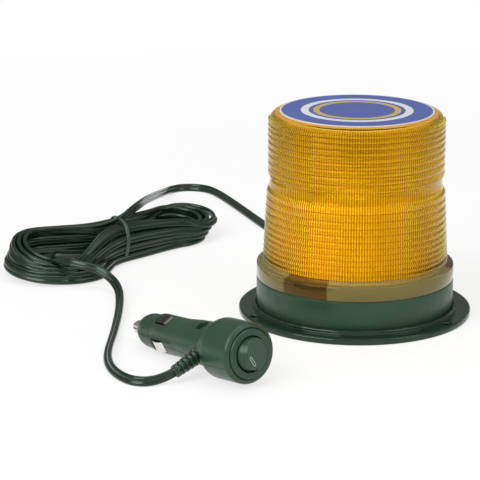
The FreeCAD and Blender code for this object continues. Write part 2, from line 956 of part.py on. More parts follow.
def shell_outline():
    """Half section of the shell: head, flare, neck, barrel, thread for the nose cap, and the hollows."""
    flare_end = head_end + flare_l
    neck_r = neck_d / 2
    rise = (head_r - neck_r) / 2
    edge_in = head_edge * edge_bend
    mid_x = head_end + flare_l / 2
    mid_r = neck_r + rise
    cavity_r = sleeve_r + fit
    blade_cavity_r = blade_spacing / 2 + blade_w / 2 + 2 * fit
    body_end = sleeve_end + switch_body_l + fit
    return [
        (bezel_depth, cavity_r),
        (bezel_depth, bezel_r + fit),
        (bezel_proud, bezel_r + fit),
        (bezel_proud, head_r - head_edge),
        ((bezel_proud + edge_in, head_r - edge_in), (bezel_proud + head_edge, head_r)),
        (head_end, head_r),
        ((head_end + flare_l * flare_bend, head_r - rise * flare_sag), (mid_x, mid_r)),
        ((flare_end - flare_l * flare_bend, neck_r + rise * flare_sag), (flare_end, neck_r)),
        (flare_end + neck_l / 2, neck_r - (neck_r - barrel_r) * flare_sag),
        (flare_end + neck_l, barrel_r),
        (barrel_end, barrel_r),
        (barrel_end, thread_d / 2),
        (barrel_end + thread_l, thread_d / 2),
        (barrel_end + thread_l, tunnel_r),
        (contact_back, tunnel_r),
        (contact_back, 0),
        (cavity_end, 0),
        (cavity_end, blade_cavity_r),
        (body_end, blade_cavity_r),
        (body_end, cavity_r),
    ]


def shell_hollows():
    """Spring slots, strain relief seat and screw hole."""
    tools = []
    for angle in spring_angles:
        slot = Part.makeBox(slot_l, head_r, slot_w, Vector(slot_start, slot_floor_r, -slot_w / 2))
        tools.append(rolled(slot, angle))
    tools.append(strain_relief(clearance=run))
    screw_angle = parting_angle + 90
    seat = Vector(shell_screw_x, shell_screw_seat_r, 0)
    recess = cylinder(shell_screw_head_d / 2 + fit, head_r, seat, y_axis)
    shank = cylinder(shell_screw_d / 2 + run, shell_screw_l, seat, y_axis * -1)
    tools.append(rolled(recess, screw_angle))
    tools.append(rolled(shank, screw_angle))
    return tools


def plug_shells():
    body = cut_all(turned_x(shell_outline()), shell_hollows())
    reach = nose_end
    upper_space = Part.makeBox(reach, 2 * head_d, head_d, Vector(0, -head_d, 0))
    lower_space = Part.makeBox(reach, 2 * head_d, head_d, Vector(0, -head_d, -head_d))
    upper = body.common(rolled(upper_space, parting_angle))
    lower = body.common(rolled(lower_space, parting_angle))
    return placed(upper), placed(lower)


def plug_screw():
    seat = Vector(shell_screw_x, shell_screw_seat_r, 0)
    one = screw(shell_screw_d, shell_screw_head_d, shell_screw_head_h, shell_screw_l, seat, y_axis * -1)
    return placed(rolled(one, parting_angle + 90))


def switch_bezel():
    """Ring let into the head, with a sleeve that holds the rocker's pin and the switch body."""
    ring = turned_x([
        (0, bore_r),
        (0, bezel_r - bezel_edge),
        (bezel_edge, bezel_r),
        (bezel_depth, bezel_r),
        (bezel_depth, sleeve_r),
        (sleeve_end, sleeve_r),
        (sleeve_end, bore_r),
    ])
    hole = cylinder(rocker_pin_d / 2 + run, 2 * head_r, Vector(rocker_pivot, -head_r, 0), y_axis)
    return placed(ring.cut(rolled(hole, parting_angle + 90)))


def switch_body():
    plug_r = bore_r - run
    step = sleeve_end - switch_body_l / 4
    return placed(turned_x([
        (step, 0),
        (step, plug_r),
        (sleeve_end, plug_r),
        (sleeve_end, sleeve_r),
        (sleeve_end + switch_body_l, sleeve_r),
        (sleeve_end + switch_body_l, 0),
    ]))


def switch_terminals():
    blades = []
    for side in (-1, 1):
        corner = Vector(sleeve_end + switch_body_l, side * blade_spacing / 2 - blade_t / 2, -blade_w / 2)
        blades.append(rolled(Part.makeBox(blade_l, blade_t, blade_w, corner), parting_angle))
    return placed(group(blades))


def rocker():
    """Round rocker, drawn level and then tipped about its pin; its face clears the bore at both ends."""
    tilt = math.radians(rocker_tilt)
    top_r = (bore_r - fit - (rocker_pivot + rocker_top) * math.sin(tilt)) / math.cos(tilt)
    body = turned_x([
        (-rocker_top, 0),
        (-rocker_top, top_r),
        (rocker_pivot - rocker_gap, rocker_d / 2),
        (rocker_pivot + rocker_gap, rocker_d / 2),
        (rocker_foot, rocker_foot_d / 2),
        (rocker_foot, 0),
    ])
    body = body.cut(cylinder(rocker_pin_d / 2 + run, 2 * head_r, Vector(rocker_pivot, 0, -head_r), z_axis))
    body.rotate(Vector(rocker_pivot, 0, 0), z_axis, rocker_tilt)
    return placed(rolled(body, parting_angle))


def rocker_pin():
    length = 2 * sleeve_r - 2 * run
    pin = cylinder(rocker_pin_d / 2, length, Vector(rocker_pivot, 0, -length / 2), z_axis)
    return placed(rolled(pin, parting_angle))


def nose_cap():
    """Screwed cap that holds the tip contact."""
    start = barrel_end + fit
    front_r = nose_front_d / 2
    start_r = barrel_r - nose_step
    shoulder_r = start_r - nose_taper
    mid_x = nose_shoulder + (nose_end - nose_shoulder) * nose_bend
    mid_r = front_r + (shoulder_r - front_r) * nose_bend
    inner_step = barrel_end + thread_l + fit
    chamber_r = tip_collar_d / 2 + fit
    return placed(turned_x([
        (start, thread_d / 2 + fit),
        (start, start_r),
        (nose_shoulder, shoulder_r),
        ((mid_x, mid_r), (nose_end - nose_edge, front_r)),
        (nose_end, front_r - nose_edge),
        (nose_end, tip_d / 2 + run),
        (nose_end - nose_wall, tip_d / 2 + run),
        (nose_end - nose_wall, chamber_r),
        (inner_step, chamber_r),
        (inner_step, thread_d / 2 + fit),
    ]))


def tip_contact():
    """Nickel pin with a collar behind the cap's front wall."""
    collar_front = nose_end - nose_wall - fit
    collar_back = collar_front - tip_collar_t
    return placed(turned_x([
        (fuse_front, 0),
        (fuse_front, fuse_d / 2),
        (collar_back, fuse_d / 2),
        (collar_back, tip_collar_d / 2),
        (collar_front, tip_collar_d / 2),
        (collar_front, tip_d / 2),
        (tip_end - tip_front_l, tip_d / 2),
        (tip_end - tip_front_l, tip_front_d / 2),
        (tip_end - tip_edge, tip_front_d / 2),
        (tip_end, tip_front_d / 2 - tip_edge),
        (tip_end, 0),
    ]))


def fuse():
    glass_l = fuse_l - 2 * fuse_cap_l
    glass = cylinder(fuse_glass_d / 2, glass_l, Vector(fuse_back + fuse_cap_l, 0, 0), x_axis)
    caps = group([
        cylinder(fuse_d / 2, fuse_cap_l, Vector(fuse_back, 0, 0), x_axis),
        cylinder(fuse_d / 2, fuse_cap_l, Vector(fuse_front - fuse_cap_l, 0, 0), x_axis),
    ])
    return placed(glass), placed(caps)


def contact_spring():
    """Folded bronze strip between the end of the fuse tunnel and the fuse."""
    half = contact_w / 2
    pitch = contact_l / contact_folds
    steep = math.hypot(pitch, contact_w) / pitch
    front = []
    rear = []
    for index in range(contact_folds + 1):
        side = half if index % 2 else -half
        front.append(Vector(contact_back + index * pitch, side + contact_t * steep / 2, 0))
        rear.append(Vector(contact_back + index * pitch, side - contact_t * steep / 2, 0))
    wire = Part.makePolygon(front + rear[::-1] + front[:1])
    strip = Part.Face(wire).extrude(z_axis * contact_w)
    strip.translate(Vector(0, 0, -half))
    return placed(strip)


def ground_spring(angle):
    """Bowed leaf in its slot, rooted at the slot's rear end."""
    back = slot_start + fit
    front = slot_start + slot_l - fit
    middle = (back + front) / 2
    leaf = outline([
        (back, spring_end_r),
        ((middle, spring_crown_r), (front, spring_end_r)),
        (front, spring_end_r - spring_t),
        ((middle, spring_crown_r - spring_t), (back, spring_end_r - spring_t)),
    ])
    width = slot_w - 2 * fit
    leaf.translate(Vector(0, width / 2, 0))
    solid = leaf.extrude(y_axis * -width)
    return placed(rolled(solid, angle - 90))


def main():
    pad, magnet, plate = magnet_stack()
    upper, lower = plug_shells()
    glass, caps = fuse()
    parts = {
        "mounting_flange": mounting_flange(),
        "base_housing": base_housing(),
        "rubber_pad": pad,
        "ring_magnet": magnet,
        "magnet_plate": plate,
        "flange_screws": flange_screws(),
        "lens_seal": lens_seal(),
        "cable_grommet": cable_grommet(),
        "circuit_board": circuit_board(),
        "board_screws": board_screws(),
        "storage_capacitors": storage_capacitors(),
        "inverter_transformer": inverter_transformer(),
        "trigger_coil": trigger_coil(),
        "heat_sink": heat_sink(),
        "power_transistor": power_transistor(),
        "terminal_block": terminal_block(),
        "supply_leads": supply_leads(),
        "reflector": reflector(),
        "reflector_pillars": reflector_pillars(),
        "tube_holder": tube_holder(),
        "flash_tube": flash_tube(),
        "tube_leads": tube_leads(),
        "trigger_strip": trigger_strip(),
        "lens": lens(),
        "top_label": top_label(),
        "cord_to_hank": cord_to_hank(),
        "cord_hank": cord_hank(),
        "cord_to_plug": cord_to_plug(),
        "hank_tie": hank_tie(),
        "plug_shell_upper": upper,
        "plug_shell_lower": lower,
        "plug_screw": plug_screw(),
        "strain_relief": placed(strain_relief()),
        "switch_bezel": switch_bezel(),
        "switch_body": switch_body(),
        "switch_terminals": switch_terminals(),
        "rocker": rocker(),
        "rocker_pin": rocker_pin(),
        "nose_cap": nose_cap(),
        "tip_contact": tip_contact(),
        "fuse_glass": glass,
        "fuse_caps": caps,
        "contact_spring": contact_spring(),
    }
    for name, angle in zip(spring_names, spring_angles):
        parts[name] = ground_spring(angle)
    for name, shape in parts.items():
        save(name, shape)


main()
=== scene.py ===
"""Looks of the strobe beacon: amber ribbed lens, black magnetic base, tied twin lead and accessory plug.

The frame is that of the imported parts: origin under the middle of the base, Z up, in metres. Lengths under a
heading that says millimetres are multiplied by MM where they are used.
"""
import json
import math

import bmesh
import bpy
from mathutils import Matrix, Vector


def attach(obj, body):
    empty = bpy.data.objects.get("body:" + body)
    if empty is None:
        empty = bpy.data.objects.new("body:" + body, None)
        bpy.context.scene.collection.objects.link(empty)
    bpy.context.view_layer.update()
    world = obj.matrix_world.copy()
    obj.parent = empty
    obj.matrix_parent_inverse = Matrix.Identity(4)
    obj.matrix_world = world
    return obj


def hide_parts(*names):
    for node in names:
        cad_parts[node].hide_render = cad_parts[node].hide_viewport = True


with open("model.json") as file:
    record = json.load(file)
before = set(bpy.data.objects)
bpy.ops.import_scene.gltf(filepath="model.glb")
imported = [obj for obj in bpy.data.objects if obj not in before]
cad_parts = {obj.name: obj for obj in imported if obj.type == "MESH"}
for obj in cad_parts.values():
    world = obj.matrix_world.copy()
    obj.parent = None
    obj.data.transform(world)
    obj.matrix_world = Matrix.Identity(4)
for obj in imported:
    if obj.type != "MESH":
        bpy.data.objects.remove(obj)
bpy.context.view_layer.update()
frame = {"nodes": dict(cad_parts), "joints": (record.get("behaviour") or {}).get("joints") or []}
nodes = frame["nodes"]
MM = 0.001

# Lens sizes, in millimetres
WALL_R = 52.5
LENS_FOOT = 20.4
SKIRT_TOP = 28.1
SKIRT_ROUND = 0.9
RIB_FOOT_Z = 30.2
RIB_FOOT_R = 49.2
LOWER_TOP_R = 47.3
LOWER_RIBS = 12
LOWER_GROWTH = 1.7
WAIST_LOW = 68.9
WAIST_HIGH = 75.6
WAIST_R = 45.6
UPPER_R = 46.8
UPPER_RIBS = 9
UPPER_GROWTH = 0.6
RIB_TOP_Z = 106.4
RIB_DEPTH = 1.0
RIB_STEPS = 6
RIB_FLATNESS = 2.5
LABEL_SEAT_R = 40.7
LABEL_SEAT_Z = 109.2
ROOF_Z = 107.0
CROWN_R = 20.0
FLUTES = 208
FLUTE_POINTS = 4
FLUTE_DEPTH = 0.3
INSIDE_POINTS = FLUTES * FLUTE_POINTS
OUTSIDE_POINTS = INSIDE_POINTS // 2
# Attribute of each point's closeness to a rib valley; the rib material turns it into painted shade
VALLEY = "rib_valley"

# Bayonet lugs, in millimetres and degrees
LUG_COUNT = 3
LUG_INNER_R = 49.2
LUG_OUTER_R = 50.75
LUG_FOOT = 22.4
LUG_TOP = 24.2
LUG_SWEEP = 10.0
LUG_STEPS = 6

# Label print, radii and widths in millimetres
RIM_FROM = 39.6
RIM_FULL = 39.9
PALE_RING_R = 27.5
PALE_RING_HALF = 2.0
GOLD_RING_R = 21.5
GOLD_RING_HALF = 1.6
PRINT_BLUR = 0.2
LABEL_BLUE = (0.055, 0.09, 0.34)
LABEL_LIGHT_BLUE = (0.07, 0.115, 0.39)
LABEL_PALE = (0.72, 0.74, 0.78)
LABEL_GOLD = (0.56, 0.40, 0.10)
LABEL_BUMP = 0.04

# Finish of the materials; scales are per metre and depths in metres
GRAIN_SCALE = 1800.0
GRAIN_DEPTH = 0.0002
GRAIN_DETAIL = 3.0
FLOW_SCALE = 38.0
FLOW_DETAIL = 4.0
FLOW_RANGE = (0.3, 0.7)
MARK_SCALE = 420.0
MARK_DEPTH = 0.0001
MARK_BUMP = 0.05
MARK_DETAIL = 6.0
MARK_STRETCH = (1.0, 1.0, 9.0)
MARK_RANGE = (0.35, 0.65)
MARK_SHOWN = (0.45, 0.75)
GREEN_GLOSS = (0.80, 1.0, 0.86)
AMBER_GLOSS = (1.0, 0.5, 0.05)
AMBER_SHADOW = (1.0, 0.76, 0.16)
AMBER_IOR = 1.49
AMBER_ROUGHNESS = 0.03
AMBER_MARK_SCALE = 160.0
# Painted shade: the rib colour is deepest at the valleys between the ribs
VALLEY_SHADE_FADE = (1.0, 0.4)
# Flute lines on both amber skins: lighter over the grooves, a painted highlight of the light that the flutes
# focus; deeper over the thicker middles of the flutes
RIB_LINE = (0.16, 0.34)
RIB_LINE_SHADE = (0.45, 1.0)
FLUTE_HIGHLIGHT_LINE = (0.20, 0.36)
# Painted dark reflection on the skirt: a darker patch at each lug's angle
SKIRT_REFLECTION_PATCH = (0.385, 0.375)
GLASS_IOR = 1.47
GLASS_TINT = (0.96, 0.98, 1.0)


# Shader building blocks

def link(tree, source, target):
    tree.links.new(source, target)


def feed(tree, socket, value):
    """Give a socket a number, a colour of three numbers or a link from another socket."""
    if isinstance(value, tuple):
        socket.default_value = (*value, 1.0)
    elif isinstance(value, (int, float)):
        socket.default_value = value
    else:
        link(tree, value, socket)


def new_group(name, inputs, outputs):
    """Empty shader group with float inputs (name, default) and float outputs."""
    group = bpy.data.node_groups.new(name, "ShaderNodeTree")
    for label, default in inputs:
        socket = group.interface.new_socket(label, in_out="INPUT", socket_type="NodeSocketFloat")
        socket.default_value = default
    for label in outputs:
        group.interface.new_socket(label, in_out="OUTPUT", socket_type="NodeSocketFloat")
    return group, group.nodes.new("NodeGroupInput"), group.nodes.new("NodeGroupOutput")


def object_place(tree):
    return tree.nodes.new("ShaderNodeTexCoord").outputs["Object"]


def axes_of(tree, vector):
    """Sockets X, Y and Z of a vector."""
    split = tree.nodes.new("ShaderNodeSeparateXYZ")
    link(tree, vector, split.inputs["Vector"])
    return split.outputs


def noise(tree, scale, detail, vector):
    node = tree.nodes.new("ShaderNodeTexNoise")
    feed(tree, node.inputs["Scale"], scale)
    node.inputs["Detail"].default_value = detail
    link(tree, vector, node.inputs["Vector"])
    return node.outputs[0]


def math_node(tree, operation, first, second=0.0):
    """Math node; each input is a socket or a number."""
    node = tree.nodes.new("ShaderNodeMath")
    node.operation = operation
    feed(tree, node.inputs[0], first)
    feed(tree, node.inputs[1], second)
    return node.outputs[0]


def ramp(tree, value, low, high, low_out=0.0, high_out=1.0):
    """Value that goes from low_out to high_out as another goes from low to high."""
    node = tree.nodes.new("ShaderNodeMapRange")
    node.inputs["From Min"].default_value = low
    node.inputs["From Max"].default_value = high
    feed(tree, node.inputs["To Min"], low_out)
    feed(tree, node.inputs["To Max"], high_out)
    link(tree, value, node.inputs["Value"])
    return node.outputs["Result"]


def moulded_grain_group():
    """Fine spark-eroded grain and slow flow variation of moulded plastic and rubber."""
    group, source, sink = new_group(
        "moulded grain",
        [("Grain Scale", GRAIN_SCALE), ("Low Roughness", 0.3), ("High Roughness", 0.4)],
        ["Height", "Roughness", "Flow"],
    )
    given = source.outputs
    place = object_place(group)
    grain = noise(group, given["Grain Scale"], GRAIN_DETAIL, place)
    flow = noise(group, FLOW_SCALE, FLOW_DETAIL, place)
    roughness = ramp(group, flow, *FLOW_RANGE, given["Low Roughness"], given["High Roughness"])
    link(group, grain, sink.inputs["Height"])
    link(group, roughness, sink.inputs["Roughness"])
    link(group, ramp(group, flow, *FLOW_RANGE), sink.inputs["Flow"])
    return group


def fine_marks_group():
    """Fine handling marks and turning lines of bright metal and glossy skins."""
    group, source, sink = new_group(
        "fine marks",
        [("Mark Scale", MARK_SCALE), ("Low Roughness", 0.15), ("High Roughness", 0.3)],
        ["Height", "Roughness", "Marks"],
    )
    given = source.outputs
    stretch = group.nodes.new("ShaderNodeMapping")
    stretch.inputs["Scale"].default_value = MARK_STRETCH
    link(group, object_place(group), stretch.inputs["Vector"])
    marks = noise(group, given["Mark Scale"], MARK_DETAIL, stretch.outputs["Vector"])
    roughness = ramp(group, marks, *MARK_RANGE, given["Low Roughness"], given["High Roughness"])
    link(group, marks, sink.inputs["Height"])
    link(group, roughness, sink.inputs["Roughness"])
    link(group, ramp(group, marks, *MARK_SHOWN), sink.inputs["Marks"])
    return group


MOULDED_GRAIN = moulded_grain_group()
FINE_MARKS = fine_marks_group()


def new_material(name):
    material = bpy.data.materials.new(name)
    material.use_nodes = True
    return material, material.node_tree, material.node_tree.nodes["Principled BSDF"]


def place_group(tree, group, **values):
    node = tree.nodes.new("ShaderNodeGroup")
    node.node_tree = group
    for label, value in values.items():
        node.inputs[label.replace("_", " ")].default_value = value
    return node


def add_bump(tree, shader, height, strength, distance):
    bump = tree.nodes.new("ShaderNodeBump")
    bump.inputs["Strength"].default_value = strength
    bump.inputs["Distance"].default_value = distance
    link(tree, height, bump.inputs["Height"])
    link(tree, bump.outputs["Normal"], shader.inputs["Normal"])


def blend_colours(tree, factor, first, second):
    """Mix of two colours; each is three numbers or a socket."""
    mix = tree.nodes.new("ShaderNodeMix")
    mix.data_type = "RGBA"
    link(tree, factor, mix.inputs["Factor"])
    feed(tree, mix.inputs["A"], first)
    feed(tree, mix.inputs["B"], second)
    return mix.outputs["Result"]


def show_blend(tree, factor, first, second):
    """Material's surface: the first shader, or the second where the factor is one."""
    mix = tree.nodes.new("ShaderNodeMixShader")
    link(tree, factor, mix.inputs["Fac"])
    link(tree, first, mix.inputs[1])
    link(tree, second, mix.inputs[2])
    link(tree, mix.outputs["Shader"], tree.nodes["Material Output"].inputs["Surface"])


# Kinds of material

def moulded(name, dark, light, low, high, grain=GRAIN_SCALE, bump=0.15, specular=0.5):
    """Moulded plastic or rubber: two close shades, uneven gloss and a fine grain."""
    material, tree, shader = new_material(name)
    skin = place_group(tree, MOULDED_GRAIN, Grain_Scale=grain, Low_Roughness=low, High_Roughness=high)
    link(tree, blend_colours(tree, skin.outputs["Flow"], dark, light), shader.inputs["Base Color"])
    link(tree, skin.outputs["Roughness"], shader.inputs["Roughness"])
    shader.inputs["Specular IOR Level"].default_value = specular
    feed(tree, shader.inputs["Specular Tint"], GREEN_GLOSS)
    add_bump(tree, shader, skin.outputs["Height"], bump, GRAIN_DEPTH)
    return material


def metal(name, dark, light, low, high, scale=MARK_SCALE):
    """Bright metal with fine marks."""
    material, tree, shader = new_material(name)
    marks = place_group(tree, FINE_MARKS, Mark_Scale=scale, Low_Roughness=low, High_Roughness=high)
    link(tree, blend_colours(tree, marks.outputs["Marks"], light, dark), shader.inputs["Base Color"])
    link(tree, marks.outputs["Roughness"], shader.inputs["Roughness"])
    shader.inputs["Metallic"].default_value = 1.0
    add_bump(tree, shader, marks.outputs["Height"], MARK_BUMP, MARK_DEPTH)
    return material


def amber(name, deep, light, mask_of, clear_share=1.0):
    """Clear amber moulding; its shadow is amber as well, so that light reaches what is inside."""
    material, tree, shader = new_material(name)
    skin = place_group(
        tree,
        FINE_MARKS,
        Mark_Scale=AMBER_MARK_SCALE,
        Low_Roughness=AMBER_ROUGHNESS,
        High_Roughness=2 * AMBER_ROUGHNESS,
    )
    link(tree, blend_colours(tree, mask_of(tree, skin), deep, light), shader.inputs["Base Color"])
    link(tree, skin.outputs["Roughness"], shader.inputs["Roughness"])
    shader.inputs["Transmission Weight"].default_value = clear_share
    shader.inputs["IOR"].default_value = AMBER_IOR
    feed(tree, shader.inputs["Specular Tint"], AMBER_GLOSS)
    clear = tree.nodes.new("ShaderNodeBsdfTransparent")
    feed(tree, clear.inputs["Color"], AMBER_SHADOW)
    rays = tree.nodes.new("ShaderNodeLightPath")
    show_blend(tree, rays.outputs["Is Shadow Ray"], shader.outputs["BSDF"], clear.outputs["BSDF"])
    return material


def from_middle(tree, count):
    """How far a point is from the middle of its equal division of the round, from 0 to 0.5."""
    place = axes_of(tree, object_place(tree))
    angle = math_node(tree, "ARCTAN2", place["Y"], place["X"])
    turns = math_node(tree, "MULTIPLY", angle, count / (2 * math.pi))
    share = math_node(tree, "FRACT", turns)
    return math_node(tree, "ABSOLUTE", math_node(tree, "SUBTRACT", share, 0.5))


def rib_shade_and_flute_light_mask(tree, skin):
    """Clear ribs with painted shade: deeper colour towards the valleys between them. Along the flutes the
    colour is deeper over their thicker middles and lighter over the grooves, a painted highlight of the light
    that the flutes focus.
    """
    depth = tree.nodes.new("ShaderNodeAttribute")
    depth.attribute_name = VALLEY
    rows = ramp(tree, depth.outputs["Fac"], *VALLEY_SHADE_FADE)
    lines = ramp(tree, from_middle(tree, FLUTES), *RIB_LINE, *RIB_LINE_SHADE)
    return math_node(tree, "MULTIPLY", rows, lines)


def flute_highlight_mask(tree, skin):
    """Lighter lines along the grooves between the flutes, a painted highlight of the light that the flutes
    focus, and deeper colour over their thicker middles.
    """
    return ramp(tree, from_middle(tree, FLUTES), *FLUTE_HIGHLIGHT_LINE)


def skirt_reflection_patch_mask(tree, skin):
    """Clear skirt between three darker patches, a painted dark reflection, set at the angles of the bayonet
    lugs.
    """
    return ramp(tree, from_middle(tree, LUG_COUNT), *SKIRT_REFLECTION_PATCH)


def lip_mask(tree, skin):
    """Faint marks of the skin."""
    return skin.outputs["Marks"]


def clear_glass_material():
    material, tree, shader = new_material("clear glass")
    skin = place_group(tree, FINE_MARKS, Mark_Scale=300.0, Low_Roughness=0.01, High_Roughness=0.05)
    feed(tree, shader.inputs["Base Color"], GLASS_TINT)
    link(tree, skin.outputs["Roughness"], shader.inputs["Roughness"])
    shader.inputs["Transmission Weight"].default_value = 1.0
    shader.inputs["IOR"].default_value = GLASS_IOR
    return material


def ring_mask(tree, radius, middle, half):
    """One where a point lies on a ring of this middle radius and half width."""
    away = math_node(tree, "ABSOLUTE", math_node(tree, "SUBTRACT", radius, middle * MM))
    return ramp(tree, away, (half + PRINT_BLUR) * MM, (half - PRINT_BLUR / 2) * MM)


def label_film_material():
    """Printed film: blue field, pale rim line, a pale ring and a gold one inside it."""
    material, tree, shader = new_material("label film")
    place = axes_of(tree, object_place(tree))
    square = math_node(tree, "MULTIPLY", place["X"], place["X"])
    other = math_node(tree, "MULTIPLY", place["Y"], place["Y"])
    radius = math_node(tree, "SQRT", math_node(tree, "ADD", square, other))
    skin = place_group(tree, MOULDED_GRAIN, Grain_Scale=900.0, Low_Roughness=0.22, High_Roughness=0.32)
    field = blend_colours(tree, skin.outputs["Flow"], LABEL_BLUE, LABEL_LIGHT_BLUE)
    rim = ramp(tree, radius, RIM_FROM * MM, RIM_FULL * MM)
    pale = math_node(tree, "MAXIMUM", rim, ring_mask(tree, radius, PALE_RING_R, PALE_RING_HALF))
    gold = ring_mask(tree, radius, GOLD_RING_R, GOLD_RING_HALF)
    printed = blend_colours(tree, pale, field, LABEL_PALE)
    link(tree, blend_colours(tree, gold, printed, LABEL_GOLD), shader.inputs["Base Color"])
    link(tree, skin.outputs["Roughness"], shader.inputs["Roughness"])
    add_bump(tree, shader, skin.outputs["Height"], LABEL_BUMP, GRAIN_DEPTH)
    return material


# Materials: dark and light shade, lowest and highest roughness
GLOSS_BLACK = moulded(
    "gloss black", (0.006, 0.021, 0.011), (0.009, 0.028, 0.015), 0.05, 0.10, grain=700.0, bump=0.02
)
SATIN_BLACK = moulded("satin black", (0.016, 0.043, 0.022), (0.021, 0.053, 0.028), 0.30, 0.38)
PLUG_BLACK = moulded("plug black", (0.017, 0.046, 0.024), (0.022, 0.056, 0.030), 0.28, 0.36, bump=0.22)
ROCKER_BLACK = moulded("rocker black", (0.017, 0.046, 0.024), (0.022, 0.056, 0.030), 0.28, 0.36)
LEAD_BLACK = moulded(
    "lead sheath", (0.004, 0.014, 0.007), (0.006, 0.020, 0.010), 0.17, 0.25, grain=1200.0, specular=0.55
)
RUBBER_BLACK = moulded(
    "soft rubber", (0.010, 0.026, 0.014), (0.014, 0.034, 0.019), 0.45, 0.6, grain=2600.0, bump=0.3
)
RELIEF_BLACK = moulded(
    "relief black", (0.012, 0.032, 0.017), (0.016, 0.041, 0.022), 0.18, 0.26, specular=0.7
)
FERRITE = moulded("ferrite", (0.05, 0.05, 0.05), (0.075, 0.073, 0.07), 0.5, 0.65, grain=2200.0, bump=0.3)
BOARD_GREEN = moulded("board laminate", (0.02, 0.13, 0.045), (0.03, 0.17, 0.06), 0.3, 0.42)
SLEEVE_BLACK = moulded("capacitor sleeve", (0.012, 0.012, 0.02), (0.02, 0.02, 0.032), 0.25, 0.35)
WINDING_TAPE = moulded("winding tape", (0.55, 0.38, 0.05), (0.66, 0.47, 0.08), 0.35, 0.5)
TERMINAL_GREEN = moulded("terminal moulding", (0.05, 0.22, 0.08), (0.07, 0.28, 0.1), 0.35, 0.45)
REFLECTOR_WHITE = moulded("reflector white", (0.78, 0.78, 0.75), (0.86, 0.86, 0.83), 0.35, 0.5, bump=0.08)
MARK_PALE = moulded("mark paint", (0.30, 0.38, 0.30), (0.36, 0.44, 0.36), 0.4, 0.5)
TIE_FILM = moulded("tie film", (0.030, 0.055, 0.036), (0.050, 0.085, 0.058), 0.22, 0.32, grain=900.0)
NICKEL = metal("nickel plate", (0.52, 0.50, 0.47), (0.74, 0.73, 0.70), 0.16, 0.28)
SPRING_METAL = metal("spring metal", (0.62, 0.60, 0.55), (0.83, 0.81, 0.76), 0.10, 0.18, scale=600.0)
# Top ground spring: a shaded copy of the spring metal, painted shade and dark reflection of the leaf down in
# its slot
SHADED_SPRING_METAL = metal(
    "spring metal with painted shade", (0.05, 0.055, 0.05), (0.12, 0.125, 0.11), 0.14, 0.24, scale=600.0
)
PLATED_STEEL = metal("plated steel", (0.48, 0.48, 0.48), (0.66, 0.66, 0.65), 0.24, 0.4)
BRASS = metal("brass", (0.55, 0.38, 0.12), (0.74, 0.53, 0.19), 0.2, 0.35)
ALUMINIUM = metal("aluminium", (0.6, 0.61, 0.62), (0.75, 0.76, 0.77), 0.3, 0.45)
# Ribs: painted shade in the valleys and painted highlight lines of the flutes
AMBER_RIBS = amber("amber ribs", (0.64, 0.25, 0.008), (1.0, 0.92, 0.08), rib_shade_and_flute_light_mask)
# Flutes: painted highlight lines along their grooves
AMBER_FLUTES = amber("amber flutes", (0.50, 0.16, 0.004), (1.0, 0.90, 0.17), flute_highlight_mask)
# Skirt: amber over the black base, with patches of painted dark reflection
AMBER_SKIRT = amber("amber skirt", (0.14, 0.08, 0.025), (0.34, 0.31, 0.13), skirt_reflection_patch_mask, clear_share=0.6)
# Lip: a less clear, plain orange copy of the amber, so that the rounded lip shows as lit from above: painted
# light
LIT_AMBER_LIP = amber("amber lip lit copy", (1.0, 0.50, 0.06), (0.95, 0.46, 0.05), lip_mask, clear_share=0.6)
CLEAR_GLASS = clear_glass_material()
LABEL_FILM = label_film_material()

NODE_FINISH = {
    "mounting_flange": GLOSS_BLACK,
    "base_housing": SATIN_BLACK,
    "rubber_pad": RUBBER_BLACK,
    "ring_magnet": FERRITE,
    "magnet_plate": PLATED_STEEL,
    "flange_screws": PLATED_STEEL,
    "lens_seal": RUBBER_BLACK,
    "cable_grommet": RUBBER_BLACK,
    "circuit_board": BOARD_GREEN,
    "board_screws": PLATED_STEEL,
    "storage_capacitors": SLEEVE_BLACK,
    "inverter_transformer": WINDING_TAPE,
    "trigger_coil": SLEEVE_BLACK,
    "heat_sink": ALUMINIUM,
    "power_transistor": SATIN_BLACK,
    "terminal_block": TERMINAL_GREEN,
    "supply_leads": LEAD_BLACK,
    "reflector": REFLECTOR_WHITE,
    "reflector_pillars": REFLECTOR_WHITE,
    "tube_holder": REFLECTOR_WHITE,
    "flash_tube": CLEAR_GLASS,
    "tube_leads": BRASS,
    "trigger_strip": NICKEL,
    "lens": AMBER_RIBS,
    "top_label": LABEL_FILM,
    "cord_to_hank": LEAD_BLACK,
    "cord_hank": LEAD_BLACK,
    "cord_to_plug": LEAD_BLACK,
    "hank_tie": TIE_FILM,
    "plug_shell_upper": PLUG_BLACK,
    "plug_shell_lower": PLUG_BLACK,
    "plug_screw": PLATED_STEEL,
    "strain_relief": RELIEF_BLACK,
    "switch_bezel": PLUG_BLACK,
    "switch_body": PLUG_BLACK,
    "switch_terminals": BRASS,
    "rocker": ROCKER_BLACK,
    "rocker_pin": PLATED_STEEL,
    "nose_cap": PLUG_BLACK,
    "tip_contact": NICKEL,
    "fuse_glass": CLEAR_GLASS,
    "fuse_caps": NICKEL,
    "contact_spring": BRASS,
    # Top leaf: painted shade and dark reflection
    "ground_spring_top": SHADED_SPRING_METAL,
    "ground_spring_front": SPRING_METAL,
    "ground_spring_rear": SPRING_METAL,
}


def finish_cad_nodes():
    for name, material in NODE_FINISH.items():
        mesh = nodes[name].data
        mesh.materials.clear()
        mesh.materials.append(material)


# Rounded edges, in millimetres and degrees

EDGE_ROUND = {
    "mounting_flange": 0.5,
    "base_housing": 0.3,
    "plug_shell_upper": 0.25,
    "plug_shell_lower": 0.25,
    "switch_bezel": 0.25,
    "rocker": 0.25,
    "nose_cap": 0.2,
    "tip_contact": 0.2,
    "strain_relief": 0.2,
}
EDGE_ANGLE = 40.0
EDGE_STEPS = 3
WELD_REACH = 0.01


